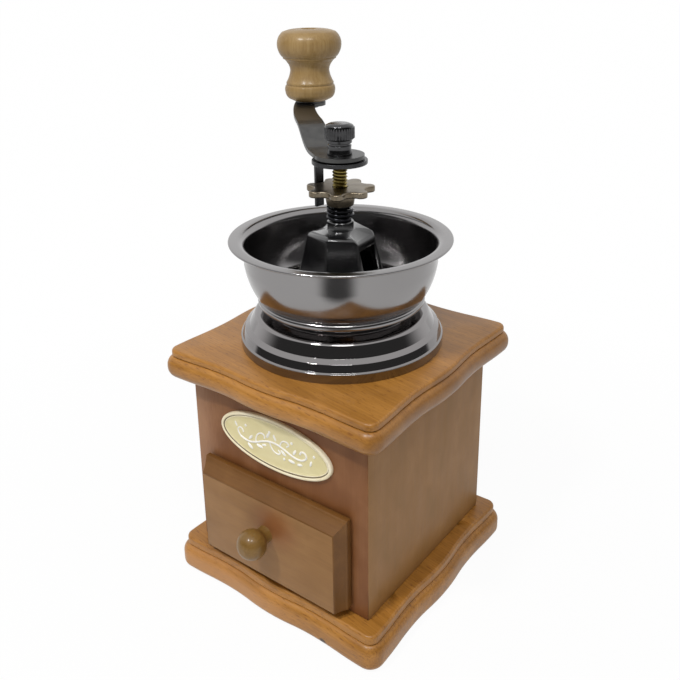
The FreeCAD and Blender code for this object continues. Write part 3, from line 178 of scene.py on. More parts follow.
gripBeech = beech("paleBeechGrip", ("#806438", "#917548", "#A2875A"), "#8F6A34", (17, 9, 2), grain=(0, 90, 0),
                  coat=0.3, coatRoughness=0.22, shares=(0.35, 0.35, 0.3),
                  marks=[((-48.5, 47.0, 210.9), (1.1, 1.1, 1.0), "#7A4E22", 0.8, 0.4)])
bareBeech = beech("bareBeechInside", ("#B08D5F", "#C6A678", "#D6BA90"), "#9C774A", (2, 5, 9), coat=0.0,
                  roughness=0.62, shares=(0.4, 0.4, 0.2))
print("beech finishes ready")


# finishes: metals, enamel and paint
def spunSheet(name, tone, rough, strength):
    # Black nickel, plated over steel sheet that was spun to shape and polished: a soft dark mirror with
    # faint rings from the spinning tool and dull blotches where hands have touched it
    material, tree, place = newFinish(name)
    split = addNode(tree, "SeparateXYZ", {"Vector": place}).outputs
    flat = addNode(tree, "CombineXYZ", [split["X"], split["Y"]])
    across = addNode(tree, "VectorMath", [flat], operation="LENGTH")
    along = addNode(tree, "CombineXYZ", {"X": across, "Z": split["Z"]})
    rings = noisesOn(tree, along, {"rings": ((0.35, 1, 0.35), 2)})["rings"]  # spinning marks, 0.35 mm apart
    blotch = noisesOn(tree, place, {"blotch": ((14, 14, 11), 3)})["blotch"]
    gloss = addNode(tree, "MapRange", [blotch, 0.3, 0.7, rough * 0.75, rough * 1.3])
    gloss = addNode(tree, "Math", [rings, rough * 0.2, gloss], operation="MULTIPLY_ADD")
    bump = addNode(tree, "Bump", {"Height": rings, "Strength": strength, "Distance": 0.01 * mm})
    return closeFinish(material, tree, {
        "Base Color": linear(tone), "Metallic": 1.0, "Roughness": gloss, "Normal": bump})


def worked(name, base, dark, light, **own):
    # Turned, stamped or cast metal, and fired enamel: one tone that clouds a little, under a fine grit of
    # tool marks that breaks its gloss. cloud and grit are the sizes of the two in millimetres
    look = {**base, **own}
    material, tree, place = newFinish(name)
    noise = noisesOn(tree, place, {"cloud": (look["cloud"], 3), "grit": (look["grit"], 2)})
    colour = addNode(tree, "ValToRGB", {"Fac": noise["cloud"]}, [(0.36, linear(dark)), (0.64, linear(light))])
    mixed = addNode(tree, "Math", [noise["cloud"], noise["grit"]], operation="ADD")
    gloss = addNode(tree, "MapRange", [mixed, 0.6, 1.4, look["rough"] - look["spread"], look["rough"] + look["spread"]])
    bump = addNode(tree, "Bump", {"Height": noise["grit"], "Strength": look["relief"],
                                  "Distance": look["depth"] * mm})
    return closeFinish(material, tree, {
        "Base Color": colour, "Roughness": gloss, "Normal": bump, "Metallic": look["metallic"],
        "Coat Weight": look["coat"], "Coat Roughness": 0.12, "Specular IOR Level": look["shine"]})


steel = {"metallic": 1.0, "cloud": 6, "grit": 0.5, "rough": 0.32, "spread": 0.07, "relief": 0.12, "depth": 0.02,
         "coat": 0.0, "shine": 0.5}
enamel = {"metallic": 0.0, "cloud": 8, "grit": 0.7, "rough": 0.38, "spread": 0.06, "relief": 0.06, "depth": 0.02,
          "coat": 0.1, "shine": 0.25}
bowlNickel = spunSheet("blackNickelSpunBowl", "#908E8E", 0.15, 0.04)
collarNickel = spunSheet("blackNickelPolishedCollar", "#8B8888", 0.07, 0.02)
# stamped sheet, tumbled before plating, so its flats stay a soft even grey
darkPlate = worked("blackNickelStampedSteel", steel, "#4E4E4E", "#5C5C5B", rough=0.36)
# bar stock turned on a lathe, so its gloss runs round the piece
darkTurned = worked("blackNickelTurnedSteel", steel, "#434344", "#525253", cloud=(5, 5, 3),
                    grit=(1.5, 1.5, 0.25), rough=0.17)
# blackened in hot oil: darker than the arm and a little glossier
lockBlack = worked("oilBlackenedSteel", steel, "#3A3A3B", "#474748", rough=0.3)
# pressure-cast zinc under thin dark plating; its brown-grey tone paints in the warm reflection of the wood
castNut = worked("darkPlatedCastZinc", steel, "#6E6352", "#8A8070", cloud=5, grit=0.6, relief=0.25, depth=0.03)
# black enamel fired on a sand casting: wet black gloss over a slightly lumpy skin
hubEnamel = worked("firedBlackEnamelCasting", enamel, "#0A0A0B", "#141415", cloud=9, grit=0.9, rough=0.2,
                   spread=0.05, relief=0.1, coat=0.7, shine=0.6)
# hard-drawn wire, oil blackened: tight bright glints on black
springBlack = worked("oilBlackenedSpringWire", steel, "#242427", "#323236", metallic=0.9, cloud=3, grit=0.3,
                     rough=0.2, spread=0.05)
# rolled brass thread, gone olive under old oil
threadBrass = worked("oiledRolledBrass", steel, "#857644", "#A39355", cloud=3, grit=(0.4, 0.4, 0.2),
                     rough=0.34, spread=0.08)
# ground steel journal below the thread, in a dark grey where it sits inside the spring
journalSteel = worked("darkGroundSteel", steel, "#39393A", "#4A4A4B", cloud=3, rough=0.3)
# grey cast iron, as cast for the bridge and ground sharp on the burrs: matt and gritty
burrIron = worked("groundCastIron", steel, "#3A3A3C", "#4C4C4E", metallic=0.85, rough=0.5, grit=0.35,
                  spread=0.1, relief=0.6, depth=0.05)
bridgeIron = worked("sandCastIron", steel, "#47484A", "#5A5B5D", metallic=0.8, rough=0.55, grit=0.45,
                    spread=0.1, relief=0.8, depth=0.06)
# bright zinc plating on cold-headed screws: pale, with a faint spangle
zincSteel = worked("brightZincPlating", steel, "#A5A39C", "#BDBAB2", cloud=2, grit=0.3, rough=0.3, spread=0.08)
# baked enamel on a pressed plate, four colours, of which the umber is painted shade for the groove: smooth, barely
# glossy, a little uneven in tone
plateField = worked("khakiCreamBakedEnamel", enamel, "#DACE9B", "#E1D6A8", cloud=(12, 12, 6))
plateIvory = worked("ivoryBakedEnamel", enamel, "#EBDFBC", "#F3E9CE")
plateShade = worked("paintedGrooveShade", enamel, "#6E6248", "#7C7056")
plateWhite = worked("whiteBakedEnamel", enamel, "#EFEDE6", "#F8F6F0", cloud=5)
print("metal and enamel finishes ready")


# mesh helpers
def newThing(name, data):  # an object in the scene
    thing = bpy.data.objects.new(name, data)
    scene.collection.objects.link(thing)
    return thing


def newPiece(name, mesh, sharp=38.0):  # smooth shading that breaks at corners sharper than sharp
    piece = newThing(name, mesh)
    mesh.polygons.foreach_set("use_smooth", [True] * len(mesh.polygons))
    mesh.set_sharp_from_angle(angle=radians(sharp))
    return piece


def meshFrom(name, points, faces):  # points in millimetres
    mesh = bpy.data.meshes.new(name)
    mesh.from_pydata([[c * mm for c in p] for p in points], [], faces)
    return mesh


def meshOf(name, work):  # closes a bmesh into a mesh: doubles merged, normals pointing out
    bmesh.ops.remove_doubles(work, verts=work.verts, dist=1e-7)
    bmesh.ops.recalc_face_normals(work, faces=work.faces)
    mesh = bpy.data.meshes.new(name)
    work.to_mesh(mesh)
    work.free()
    return mesh


def solidFrom(name, points, faces, kinds=()):  # kinds: which of the piece's materials each face has
    mesh = meshFrom(name, points, faces)
    if kinds:
        mesh.polygons.foreach_set("material_index", kinds)
    work = bmesh.new()
    work.from_mesh(mesh)
    return meshOf(name, work)


def ringFaces(rings, around):  # quads between rings of points, each ring given by its number
    return [[low * around + step, low * around + (step + 1) % around, high * around + (step + 1) % around,
             high * around + step] for low, high in zip(rings, rings[1:]) for step in range(around)]


def evaluated(thing):  # the plain mesh that an object's modifiers or curve give
    return bpy.data.meshes.new_from_object(thing.evaluated_get(bpy.context.evaluated_depsgraph_get()))


def dress(piece, body, slot, materials, *nodes):  # hands a finished piece to its body
    for material in materials if isinstance(materials, list) else [materials]:
        if material.name not in [m.name for m in piece.data.materials if m]:
            piece.data.materials.append(material)
    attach(piece, body)
    if nodes:
        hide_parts(*nodes)


def withModifiers(piece):  # bakes the piece's modifiers into its mesh
    mesh = evaluated(piece)
    piece.modifiers.clear()
    piece.data = mesh
    return piece


def cutAway(piece, work):  # takes the solids in a bmesh out of a piece
    cutter = newPiece("cutter", meshOf("cutter", work))
    cut = piece.modifiers.new("cut", "BOOLEAN")
    cut.operation, cut.object = "DIFFERENCE", cutter
    withModifiers(piece)
    bpy.data.objects.remove(cutter)


def roundedPath(corners, steps=6):  # straight runs; a corner is (across, height) or (across, height, radius)
    path = []
    for index, corner in enumerate(corners):
        here = Vector(corner[:2])
        if len(corner) < 3 or index in (0, len(corners) - 1):
            path.append(here)
            continue
        before = (Vector(corners[index - 1][:2]) - here).normalized()
        after = (Vector(corners[index + 1][:2]) - here).normalized()
        half = before.angle(after) / 2
        middle = here + (before + after).normalized() * (corner[2] / sin(half))
        reach = corner[2] / tan(half)
        first = here + before * reach - middle
        sweep = first.angle_signed(here + after * reach - middle)
        count = max(2, min(24, round(steps * abs(sweep) / (pi / 2) * (1 + corner[2] ** 0.5 / 2))))
        path += [middle + Matrix.Rotation(-sweep * step / count, 2) @ first for step in range(count + 1)]
    return path


def arcPath(stops, count=10):  # a stop is (across, height) or (across, height, radius of the arc that reaches it)
    path = [Vector(stops[0][:2])]
    for stop in stops[1:]:
        start, finish = path[-1].copy(), Vector(stop[:2])
        if len(stop) > 2:  # a positive radius bulges away from the axis, a negative one towards it
            chord = finish - start
            side = Vector((chord.y, -chord.x)).normalized() * copysign(1, stop[2])
            middle = (start + finish) / 2 - side * sqrt(stop[2] ** 2 - chord.length_squared / 4)
            first = start - middle
            sweep = first.angle_signed(finish - middle)
            path += [middle + Matrix.Rotation(-sweep * step / count, 2) @ first for step in range(1, count)]
        path.append(finish)
    return path


def turnedMesh(name, path, around, centre=(0, 0), closed=True, lift=0.0):  # revolves a path of radius and height
    points, faces, rows = [], [], []
    for radius, height in path:
        fewer = 1 if radius < 1e-6 else around
        rows.append([len(points) + step for step in range(fewer)])
        points += [(centre[0] + radius * cos(2 * pi * step / around),
                    centre[1] + radius * sin(2 * pi * step / around), height + lift) for step in range(fewer)]
    for low, high in zip(rows, rows[1:] + rows[:1] * closed):
        for step in range(around):
            after = (step + 1) % around
            ring = [low[step % len(low)], low[after % len(low)], high[after % len(high)], high[step % len(high)]]
            ring = [v for i, v in enumerate(ring) if v not in ring[:i]]
            if len(ring) > 2:
                faces.append(ring)
    return solidFrom(name, points, faces)


def turnedPiece(name, path, around, sharp, body, slot, finish, *nodes, **how):
    dress(newPiece(name, turnedMesh(name, path, around, **how), sharp), body, slot, finish, *nodes)


def blockMesh(name, low, high, width, segments=2, chosen=lambda edge: True):  # corners in metres, edges eased
    work = bmesh.new()
    bmesh.ops.create_cube(work, size=1.0, matrix=Matrix.Translation((Vector(low) + Vector(high)) / 2)
                          @ Matrix.Diagonal((*(Vector(high) - Vector(low)), 1)))
    bmesh.ops.bevel(work, geom=[e for e in work.edges if chosen(e)], offset=width * mm, segments=segments,
                    profile=0.6, affect="EDGES")
    return meshOf(name, work)


def eased(node, name, width, angle):  # a merged copy of a CAD node, its edges sharper than angle rounded
    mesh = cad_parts[node].data.copy()
    mesh.materials.clear()
    work = bmesh.new()
    work.from_mesh(mesh)
    bmesh.ops.remove_doubles(work, verts=work.verts, dist=2e-6)
    bmesh.ops.dissolve_limit(work, angle_limit=radians(0.6), verts=work.verts, edges=work.edges)
    work.to_mesh(mesh)
    work.free()
    piece = newPiece(name, mesh, angle)
    bevel = piece.modifiers.new("ease", "BEVEL")
    bevel.width, bevel.segments = width * mm, 3
    bevel.limit_method, bevel.angle_limit = "ANGLE", radians(angle)
    bevel.harden_normals = True
    return withModifiers(piece)


def newTree(name, inputs):  # a geometry node tree; the value of an input gives its type, None a material
    tree = bpy.data.node_groups.new(name, "GeometryNodeTree")
    tree.interface.new_socket("Geometry", in_out="INPUT", socket_type="NodeSocketGeometry")
    for label, value in inputs.items():
        kind = {int: "Int", float: "Float", tuple: "Vector"}.get(type(value), "Material")
        socket = tree.interface.new_socket(label, in_out="INPUT", socket_type="NodeSocket" + kind)
        if value is not None:
            socket.default_value = value
    tree.interface.new_socket("Geometry", in_out="OUTPUT", socket_type="NodeSocketGeometry")
    return tree, tree.nodes.new("NodeGroupInput").outputs


def closeTree(tree, geometry, material):  # Realize Instances and Set Material, then out
    real = addNode(tree, "RealizeInstances", {"Geometry": geometry})
    painted = addNode(tree, "SetMaterial", {"Geometry": real, "Material": material})
    addNode(tree, "NodeGroupOutput", {"Geometry": painted})


def inMetres(sizes):  # whole numbers are counts, and Turns is a plain number
    return {label: value * mm if isinstance(value, float) and label != "Turns" else value
            for label, value in sizes.items()}


def grown(name, tree, values, places=(), sharp=38.0, **traits):
    # Runs a tree on loose points, each with its traits, and keeps what it makes as a plain mesh
    seed = meshFrom(name + "Seed", places, [])
    for label, column in traits.items():
        seed.attributes.new(label, "FLOAT", "POINT").data.foreach_set("value", column)
    carrier = newThing(name + "Carrier", seed)
    modifier = carrier.modifiers.new("grow", "NODES")
    modifier.node_group = tree
    for item in tree.interface.items_tree:
        if item.item_type == "SOCKET" and item.in_out == "INPUT" and item.name in values:
            modifier[item.identifier] = values[item.name]
    mesh = evaluated(carrier)
    bpy.data.objects.remove(carrier)
    return newPiece(name, mesh, sharp)


# boards: scalloped outline, rolled lip, hairline groove, eased upper step
boardSize = {"half": 52.2, "corner": 6.2, "valleyAlong": 22.6, "valleyDepth": 0.9, "crownRise": 0.4, "steps": 14,
             "upperRound": 4.4, "stepInset": 2.2, "stepRound": 1.2, "grooveDepth": 0.5, "grooveWidth": 0.45,
             "base": {"bottom": 0.0, "lip": 11.7, "step": 3.5, "lowerRound": 3.6, "hole": 0.0},
             "top": {"bottom": 92.5, "lip": 9.9, "step": 2.6, "lowerRound": 4.8, "hole": 25.6}, "middleRing": 20.0,
             "screwAcross": 39.7, "screwAlong": 25.0,  # sink: outline of the sunk holes under the base
             "sink": [(0, -1), (3.65, -1), (3.65, 0.6), (1.8, 2.5), (1.8, 16), (0, 16)]}


def easeRun(start, finish, count):  # two like arcs, level at their outer ends; points are (along, depth)
    half, rise = (finish[0] - start[0]) / 2, (finish[1] - start[1]) / 2
    radius = hypot(half, rise) / (2 * sin(atan2(abs(rise), abs(half))))
    bend = lambda way: radius - sqrt(radius ** 2 - way ** 2)
    run = []
    for step in range(count):
        t = 2.0 * step / count
        deep = bend(t * half) if t <= 1 else 2 * abs(rise) - bend((2 - t) * half)
        run.append((start[0] + t * half, start[1] + copysign(deep, rise)))
    return run


def boardOutline():  # one turn of points with their outward directions, counter-clockwise
    half, corner, valley, deep, count = (boardSize[k] for k in ("half", "corner", "valleyAlong", "valleyDepth",
                                                                "steps"))
    straight = half - corner
    knots = [(-straight, 0.0), (-valley, deep), (0.0, -boardSize["crownRise"]), (valley, deep), (straight, 0.0)]
    side = [(half - d, a) for ends in zip(knots, knots[1:]) for a, d in easeRun(*ends, count)]
    side += [(straight + corner * cos(pi / 2 * step / count), straight + corner * sin(pi / 2 * step / count))
             for step in range(count)]
    outline = [Matrix.Rotation(pi / 2 * q, 2) @ Vector(p) for q in range(4) for p in side]
    return outline, [Vector((after.y - before.y, before.x - after.x)).normalized()
                     for before, after in zip(outline[-1:] + outline, outline[1:] + outline[:1])]


def boardMesh(name, kind):
    size, own = boardSize, boardSize[kind]
    inset, groove, upper, high = size["stepInset"], size["grooveWidth"], size["upperRound"], own["lip"] + own["step"]
    quarter = [pi / 2 * step / 8 for step in range(9)]
    profile = [(own["lowerRound"] * (1 - sin(t)), own["lowerRound"] * (1 - cos(t))) for t in quarter]
    profile += [(upper * (1 - cos(t)), own["lip"] - upper * (1 - sin(t)))
                for t in (acos(1 - inset / upper) * step / 7 for step in range(8))]
    lipTop, deep = profile[-1][1], inset + size["grooveDepth"]
    profile += [(deep, lipTop + 0.1), (deep, lipTop + groove), (inset, lipTop + groove + 0.15)]
    profile += [(inset + size["stepRound"] * (1 - cos(t)), high - size["stepRound"] * (1 - sin(t))) for t in quarter]
    outline, ways = boardOutline()
    count, last = len(outline), len(profile)
    points = [(p.x - w.x * inward, p.y - w.y * inward, own["bottom"] + height)
              for inward, height in profile for p, w in zip(outline, ways)]
    for height in (high, 0.0):  # the two rings round the hole, or round the middle where there is none
        points += [(*(p.normalized() * (own["hole"] or size["middleRing"])), own["bottom"] + height) for p in outline]
    if own["hole"]:
        return solidFrom(name, points, ringFaces([*range(last + 2), 0], count))
    faces = ringFaces(range(last + 1), count) + ringFaces([0, last + 1], count)
    return solidFrom(name, points, faces + [[row * count + i for i in range(count)] for row in (last, last + 1)])


topBoard = newPiece("topBoard", boardMesh("topBoard", "top"), 50)
baseBoard = newPiece("baseBoard", boardMesh("baseBoard", "base"), 50)
sinks = bmesh.new()
for x in (-boardSize["screwAcross"], boardSize["screwAcross"]):
    for y in (-boardSize["screwAlong"], boardSize["screwAlong"]):
        sinks.from_mesh(turnedMesh("sink", boardSize["sink"], 32, (x, y), closed=False))
cutAway(baseBoard, sinks)
dress(topBoard, "housing", "board_wood", boardBeech, "top_board")
dress(baseBoard, "housing", "board_wood", boardBeech, "base_board")
print("boards made")


# case: four panels with eased edges, and the two runners inside
caseSize = {"half": 43.2, "inner": 36.2, "bottom": 15.2, "top": 92.5, "openingHalf": 33.6, "openingBottom": 19.9,
            "openingTop": 57.0, "endsFrom": 42.0, "footEase": 0.4, "runnerEase": 0.35}


def frontPanelMesh():  # full-width panel with the drawer opening, its front edges eased
    c = caseSize
    across = [-c["half"], -c["openingHalf"], c["openingHalf"], c["half"]]
    upward = [c["bottom"], c["openingBottom"], c["openingTop"], c["top"]]
    work = bmesh.new()
    spots = {(i, j, k): work.verts.new((x * mm, y * mm, z * mm)) for i, x in enumerate(across)
             for j, y in enumerate((-c["half"], -c["inner"])) for k, z in enumerate(upward)}
    for i, k in [(i, k) for i in range(3) for k in range(3) if (i, k) != (1, 1)]:
        for j in (0, 1):
            work.faces.new([spots[i, j, k], spots[i + 1, j, k], spots[i + 1, j, k + 1], spots[i, j, k + 1]])
    for i, k in [(0, 0), (1, 0), (2, 0), (0, 3), (1, 3), (2, 3), (1, 1), (1, 2)]:
        work.faces.new([spots[i, 0, k], spots[i + 1, 0, k], spots[i + 1, 1, k], spots[i, 1, k]])
    for i, k in [(0, 0), (0, 1), (0, 2), (3, 0), (3, 1), (3, 2), (1, 1), (2, 1)]:
        work.faces.new([spots[i, 0, k], spots[i, 0, k + 1], spots[i, 1, k + 1], spots[i, 1, k]])
    bmesh.ops.recalc_face_normals(work, faces=work.faces)
    front = [e for e in work.edges if all(abs(v.co.y + c["half"] * mm) < 1e-6 for v in e.verts)
             and e.calc_face_angle(0.0) > 0.5]
    bmesh.ops.bevel(work, geom=front, offset=c["footEase"] * mm, segments=3, profile=0.5, affect="EDGES")
    return meshOf("frontPanel", work)


def panelEdge(edge):  # the edges that are eased on the other panels: at the feet, the tops and the outer corners
    first, last = (vert.co for vert in edge.verts)
    reach = [abs(first[axis] + last[axis]) / 2 for axis in (0, 1)]
    out = caseSize["half"] * mm - 1e-5
    return max(reach) > out and abs(first.z - last.z) < 1e-6 or min(reach) > out


def blockPiece(name, node, body, slot, finish, *easing):  # takes the place of a CAD block
    dress(newPiece(name, blockMesh(name, *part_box(node), *easing), 40), body, slot, finish, node)


frontPanel = newPiece("frontPanel", frontPanelMesh(), 40)
for face in frontPanel.data.polygons:  # the panel's ends take the sides' copy of the beech, not the front's painted shade
    atEnd = abs(face.normal.x) > 0.75 and abs(face.center.x) > caseSize["endsFrom"] * mm
    face.material_index = 1 if atEnd else 0
dress(frontPanel, "housing", "case_wood", [frontShadedBeech, sideBeech], "front_panel")
for name, node in (("backPanel", "back_panel"), ("leftPanel", "left_panel"), ("rightPanel", "right_panel")):
    blockPiece(name, node, "housing", "case_wood", sideBeech, caseSize["footEase"], 3, panelEdge)
for name, node in (("leftRunner", "left_drawer_runner"), ("rightRunner", "right_drawer_runner")):
    blockPiece(name, node, "housing", "bare_wood", bareBeech, caseSize["runnerEase"])
print("case made")


# oval plate: ivory border, a thin groove darkened with painted shade, inner line, plain field with a raised white sprig
plateSize = {"halfWidth": 27.9, "halfHeight": 11.2, "back": -43.2, "middle": 75.9, "field": 0.8, "steps": 160,
             "evenInset": 3.0, "shrink": 8.6,  # beyond the even inset the rings only shrink
             # rings of (inset, height above the panel, finish: 0 ivory, 1 field, 2 the groove's painted shade)
             "rings": [(0.0, 0.0, 0), (0.0, 0.95, 0), (0.16, 1.22, 0), (0.5, 1.38, 0), (0.95, 1.4, 0), (1.3, 1.2, 0),
                       (1.42, 0.86, 2), (1.62, 0.8, 2), (1.72, 0.95, 0), (1.88, 1.02, 0), (2.06, 0.95, 0),
                       (2.2, 0.82, 1), (3.0, 0.8, 1), (6.0, 0.82, 1), (10.4, 0.84, 1)]}


def plateMesh():
    size, count, rings = plateSize, plateSize["steps"], plateSize["rings"]
    points = []
    for inset, rise, _ in rings:
        even = min(inset, size["evenInset"])
        shrink = 1 - (inset - even) / size["shrink"]
        for step in range(count):
            turn = 2 * pi * step / count
            x, z = size["halfWidth"] * cos(turn), size["halfHeight"] * sin(turn)
            way = Vector((x / size["halfWidth"] ** 2, z / size["halfHeight"] ** 2)).normalized() * even
            points.append(((x - way.x) * shrink, size["back"] - rise, size["middle"] + (z - way.y) * shrink))
    faces = ringFaces(range(len(rings)), count)
    kinds = [kind for _, _, kind in rings[1:] for step in range(count)]
    for row, kind in ((len(rings) - 1, 1), (0, 0)):
        points.append((0, size["back"] - rings[row][1], size["middle"]))
        faces += [[row * count + i, row * count + (i + 1) % count, len(points) - 1] for i in range(count)]
        kinds += [kind] * count
    return solidFrom("ovalPlate", points, faces, kinds)


ovalPlate = newPiece("ovalPlate", plateMesh(), 50)
dress(ovalPlate, "housing", "plate_enamel", [plateIvory, plateField, plateShade], "name_plate")

# the sprig: curling stems, leaves as (x, z, turn in degrees, size) and berries, all from the plate's middle
sprigSize = {"stem": 0.42, "curl": 0.33, "leaf": 1.35, "berry": 0.62, "smoothness": 10, "roundness": 4, "stems": [
    [(-17.5, -2.0), (-14.5, -3.3), (-10, -2.4), (-5, 0.2), (0, 1.3), (5, 0.2), (9.5, -1.6), (13.5, -1.7), (16.3, 0.2),
     (15.6, 2.4), (13.2, 2.4), (12.9, 0.9)],
    [(-17.5, -2.0), (-19.2, -0.4), (-18.4, 1.7), (-16.2, 1.7), (-15.9, 0.2)],
    [(-9.5, -2.2), (-9.4, 1.1), (-6.6, 3.3), (-4.4, 2.6), (-4.9, 1.3)],
    [(3.0, 0.8), (3.6, 3.3), (6.6, 4.0), (7.9, 2.5), (6.3, 1.7)],
    [(-2.5, 1.1), (-1.4, -2.2), (1.8, -3.5), (3.6, -2.2), (2.0, -1.3)]],
    "leaves": [(-12.6, -4.9, 35, 1.0), (-12.2, -0.9, -50, 0.9), (-7.6, -3.1, 10, 1.0), (-3.0, 3.3, -60, 0.95),
               (0.4, 3.4, -115, 0.85), (4.6, -1.7, 35, 0.95), (8.6, -3.8, 5, 1.0), (10.2, 0.7, -60, 0.9),
               (12.6, -3.8, -15, 0.85), (-5.2, -1.8, -15, 0.75), (18.0, -1.2, -75, 0.8), (-19.8, 2.6, 60, 0.7)],
    "berries": [(-14.6, 3.6), (-2.2, 4.9), (8.9, 4.2), (4.9, -4.2), (19.6, 2.4)]}
onField = plateSize["back"] - plateSize["field"]

# each seed carries its turn and its size; a leaf or a berry is a flattened ball drawn out by its stretch
budTree, given = newTree("sprigBuds", {"Radius": 0.001, "Stretch": (1.0, 1.0, 1.0)})
bud = addNode(budTree, "MeshUVSphere", {"Segments": 14, "Rings": 8, "Radius": given["Radius"]})
budShape = addNode(budTree, "Transform", {"Geometry": bud, "Scale": given["Stretch"]})
turnOf, sizeOf = (addNode(budTree, "InputNamedAttribute", {"Name": label}, data_type="FLOAT")
                  for label in ("turn", "size"))
around = addNode(budTree, "CombineXYZ", {"Y": turnOf.outputs["Attribute"]})
placed = addNode(budTree, "InstanceOnPoints", {
    "Points": given["Geometry"], "Instance": budShape, "Rotation": around, "Scale": sizeOf.outputs["Attribute"]})
closeTree(budTree, placed, plateWhite)

stems = bmesh.new()
for number, run in enumerate(sprigSize["stems"]):
    curve = bpy.data.curves.new("stem", "CURVE")
    curve.dimensions, curve.use_fill_caps = "3D", True
    curve.bevel_depth = sprigSize["curl" if number else "stem"] * mm
    curve.bevel_resolution, curve.resolution_u = sprigSize["roundness"], sprigSize["smoothness"]
    spline = curve.splines.new("NURBS")
    spline.points.add(len(run) - 1)
    for spot, (x, z) in zip(spline.points, run):
        spot.co = (x * mm, onField * mm, (plateSize["middle"] + z) * mm, 1.0)
    spline.order_u, spline.use_endpoint_u = 3, True
    holder = newThing("stem", curve)
    stems.from_mesh(evaluated(holder))
    bpy.data.objects.remove(holder)
dress(newPiece("sprigStems", meshOf("sprigStems", stems), 60), "housing", "plate_enamel", plateWhite)
for name, label, stretch, marks in (
        ("sprigLeaves", "leaf", (1.25, 0.34, 0.5), sprigSize["leaves"]),
        ("sprigBerries", "berry", (1.0, 0.6, 1.0), [(x, z, 0, 1) for x, z in sprigSize["berries"]])):
    buds = grown(name, budTree, {"Radius": sprigSize[label] * mm, "Stretch": stretch},
                 [(m[0], onField, plateSize["middle"] + m[1]) for m in marks], 60,
                 turn=[radians(m[2]) for m in marks], size=[m[3] for m in marks])
    dress(buds, "housing", "plate_enamel", plateWhite)
print("plate made")


# drawer: moulded front, turned knob, plain box
drawerSize = {"half": 36.1, "bottom": 19.0, "top": 58.8, "back": -43.9, "slab": 2.6, "moulding": 4.9,
              "sideInset": 2.8, "topInset": 4.7, "boxEase": 0.3}


def drawerFrontMesh():  # rows of (share of the inset, distance forward); the bottom edge has no moulding
    d = drawerSize
    slab, face = d["slab"], d["slab"] + d["moulding"]
    rows = [(0.04, 0.0), (0.0, 0.3), (0.0, slab - 0.3), (0.04, slab - 0.08), (0.1, slab + 0.1)]
    for t in (step / 8 for step in range(9)):  # a shallow cove that rises to the face
        rows.append((0.16 + 0.72 * t + 0.06 * sin(pi * t), slab + 0.3 + (d["moulding"] - 1.0) * t))
    rows += [(0.94, face - 0.35), (0.985, face - 0.1), (1.06, face)]
    points = []
    for share, forward in rows:
        side, high = d["half"] - share * d["sideInset"], d["top"] - share * d["topInset"]
        low = d["bottom"] + (0.3 if share > 1 else 0.0)
        points += [(x, d["back"] - forward, z) for x, z in ((-side, low), (side, low), (side, high), (-side, high))]
    last = (len(rows) - 1) * 4
    faces = ringFaces(range(len(rows)), 4) + [[0, 1, 2, 3], [last, last + 1, last + 2, last + 3]]
    return solidFrom("drawerFront", points, faces)


drawerFront = newPiece("drawerFront", drawerFrontMesh(), 42)
for face in drawerFront.data.polygons:  # the moulded edges took more stain than the face
    face.material_index = 1 if face.normal.y > -0.98 and abs(face.normal.z + 1.0) > 0.02 else 0
dress(drawerFront, "drawer", "drawer_wood", [drawerBeech, mouldBeech], "drawer_front")
for name, node in (("drawerLeftSide", "drawer_left_side"), ("drawerRightSide", "drawer_right_side"),
                   ("drawerBack", "drawer_back"), ("drawerBottom", "drawer_bottom")):
    blockPiece(name, node, "drawer", "bare_wood", bareBeech, drawerSize["boxEase"])

drawerKnobSize = {"face": -51.4, "height": 39.9, "stem": 3.4, "neck": 3.1, "ball": 6.0, "ballMiddle": 7.7,
                  "ballHalf": 5.707, "depth": 13.2}


def drawerKnobMesh():  # turned about Z, then laid to point at -Y
    k = drawerKnobSize
    path = [(0, 0), (k["stem"] + 0.15, 0), (k["stem"], 0.5), (k["stem"], 2.4)]
    for step in range(17):
        along = k["neck"] + (k["depth"] - k["neck"]) * step / 16
        path.append((k["ball"] * sqrt(1 - ((along - k["ballMiddle"]) / k["ballHalf"]) ** 2), along))
    mesh = turnedMesh("drawerKnob", path + [(1.0, k["depth"]), (0, k["depth"])], 64, closed=False)
    mesh.transform(Matrix.Translation((0, k["face"] * mm, k["height"] * mm)) @ Matrix.Rotation(pi / 2, 4, "X"))
    return mesh


dress(newPiece("drawerKnob", drawerKnobMesh(), 60), "drawer", "knob_wood", knobBeech, "drawer_knob")
print("drawer made")

# screws: one pan head with a cross recess, grown at every place
screwSize = {"housing": {"Radius": 3.2, "Height": 2.0}, "circle": 21.6, "firstAngle": 47, "seat": 125.0,
             "drawer": {"Radius": 3.8, "Height": 1.7}, "drawerTurn": 1.1, "slot": 0.24, "slotReach": 1.15}
screwTree, given = newTree("panHead", {"Radius": 0.003, "Height": 0.002, "Turn": 0.4, "Tilt": (0.0, 0.0, 0.0),
                                       "Slot": screwSize["slot"], "Slot Reach": screwSize["slotReach"]})
dome = addNode(screwTree, "MeshUVSphere", {"Segments": 32, "Rings": 24, "Radius": 1.0})
squash = addNode(screwTree, "CombineXYZ", [given["Radius"], given["Radius"], given["Height"]])
head = addNode(screwTree, "Transform", {"Geometry": dome, "Scale": squash})
wing, thin = (addNode(screwTree, "Math", [given["Radius"], given[label]], operation="MULTIPLY")
              for label in ("Slot Reach", "Slot"))
lift = addNode(screwTree, "CombineXYZ", {"Z": given["Height"]})
cuts = []
for wide, narrow in ((wing, thin), (thin, wing)):
    shape = addNode(screwTree, "CombineXYZ", [wide, narrow, given["Height"]])
    cuts.append((addNode(screwTree, "MeshCube", {"Size": shape}), lift))
cuts.append((addNode(screwTree, "MeshCube", {"Size": (0.04, 0.04, 0.02)}), (0, 0, -0.01)))  # the half below the seat
carved = addNode(screwTree, "MeshBoolean", {"Mesh 1": head}, operation="DIFFERENCE")
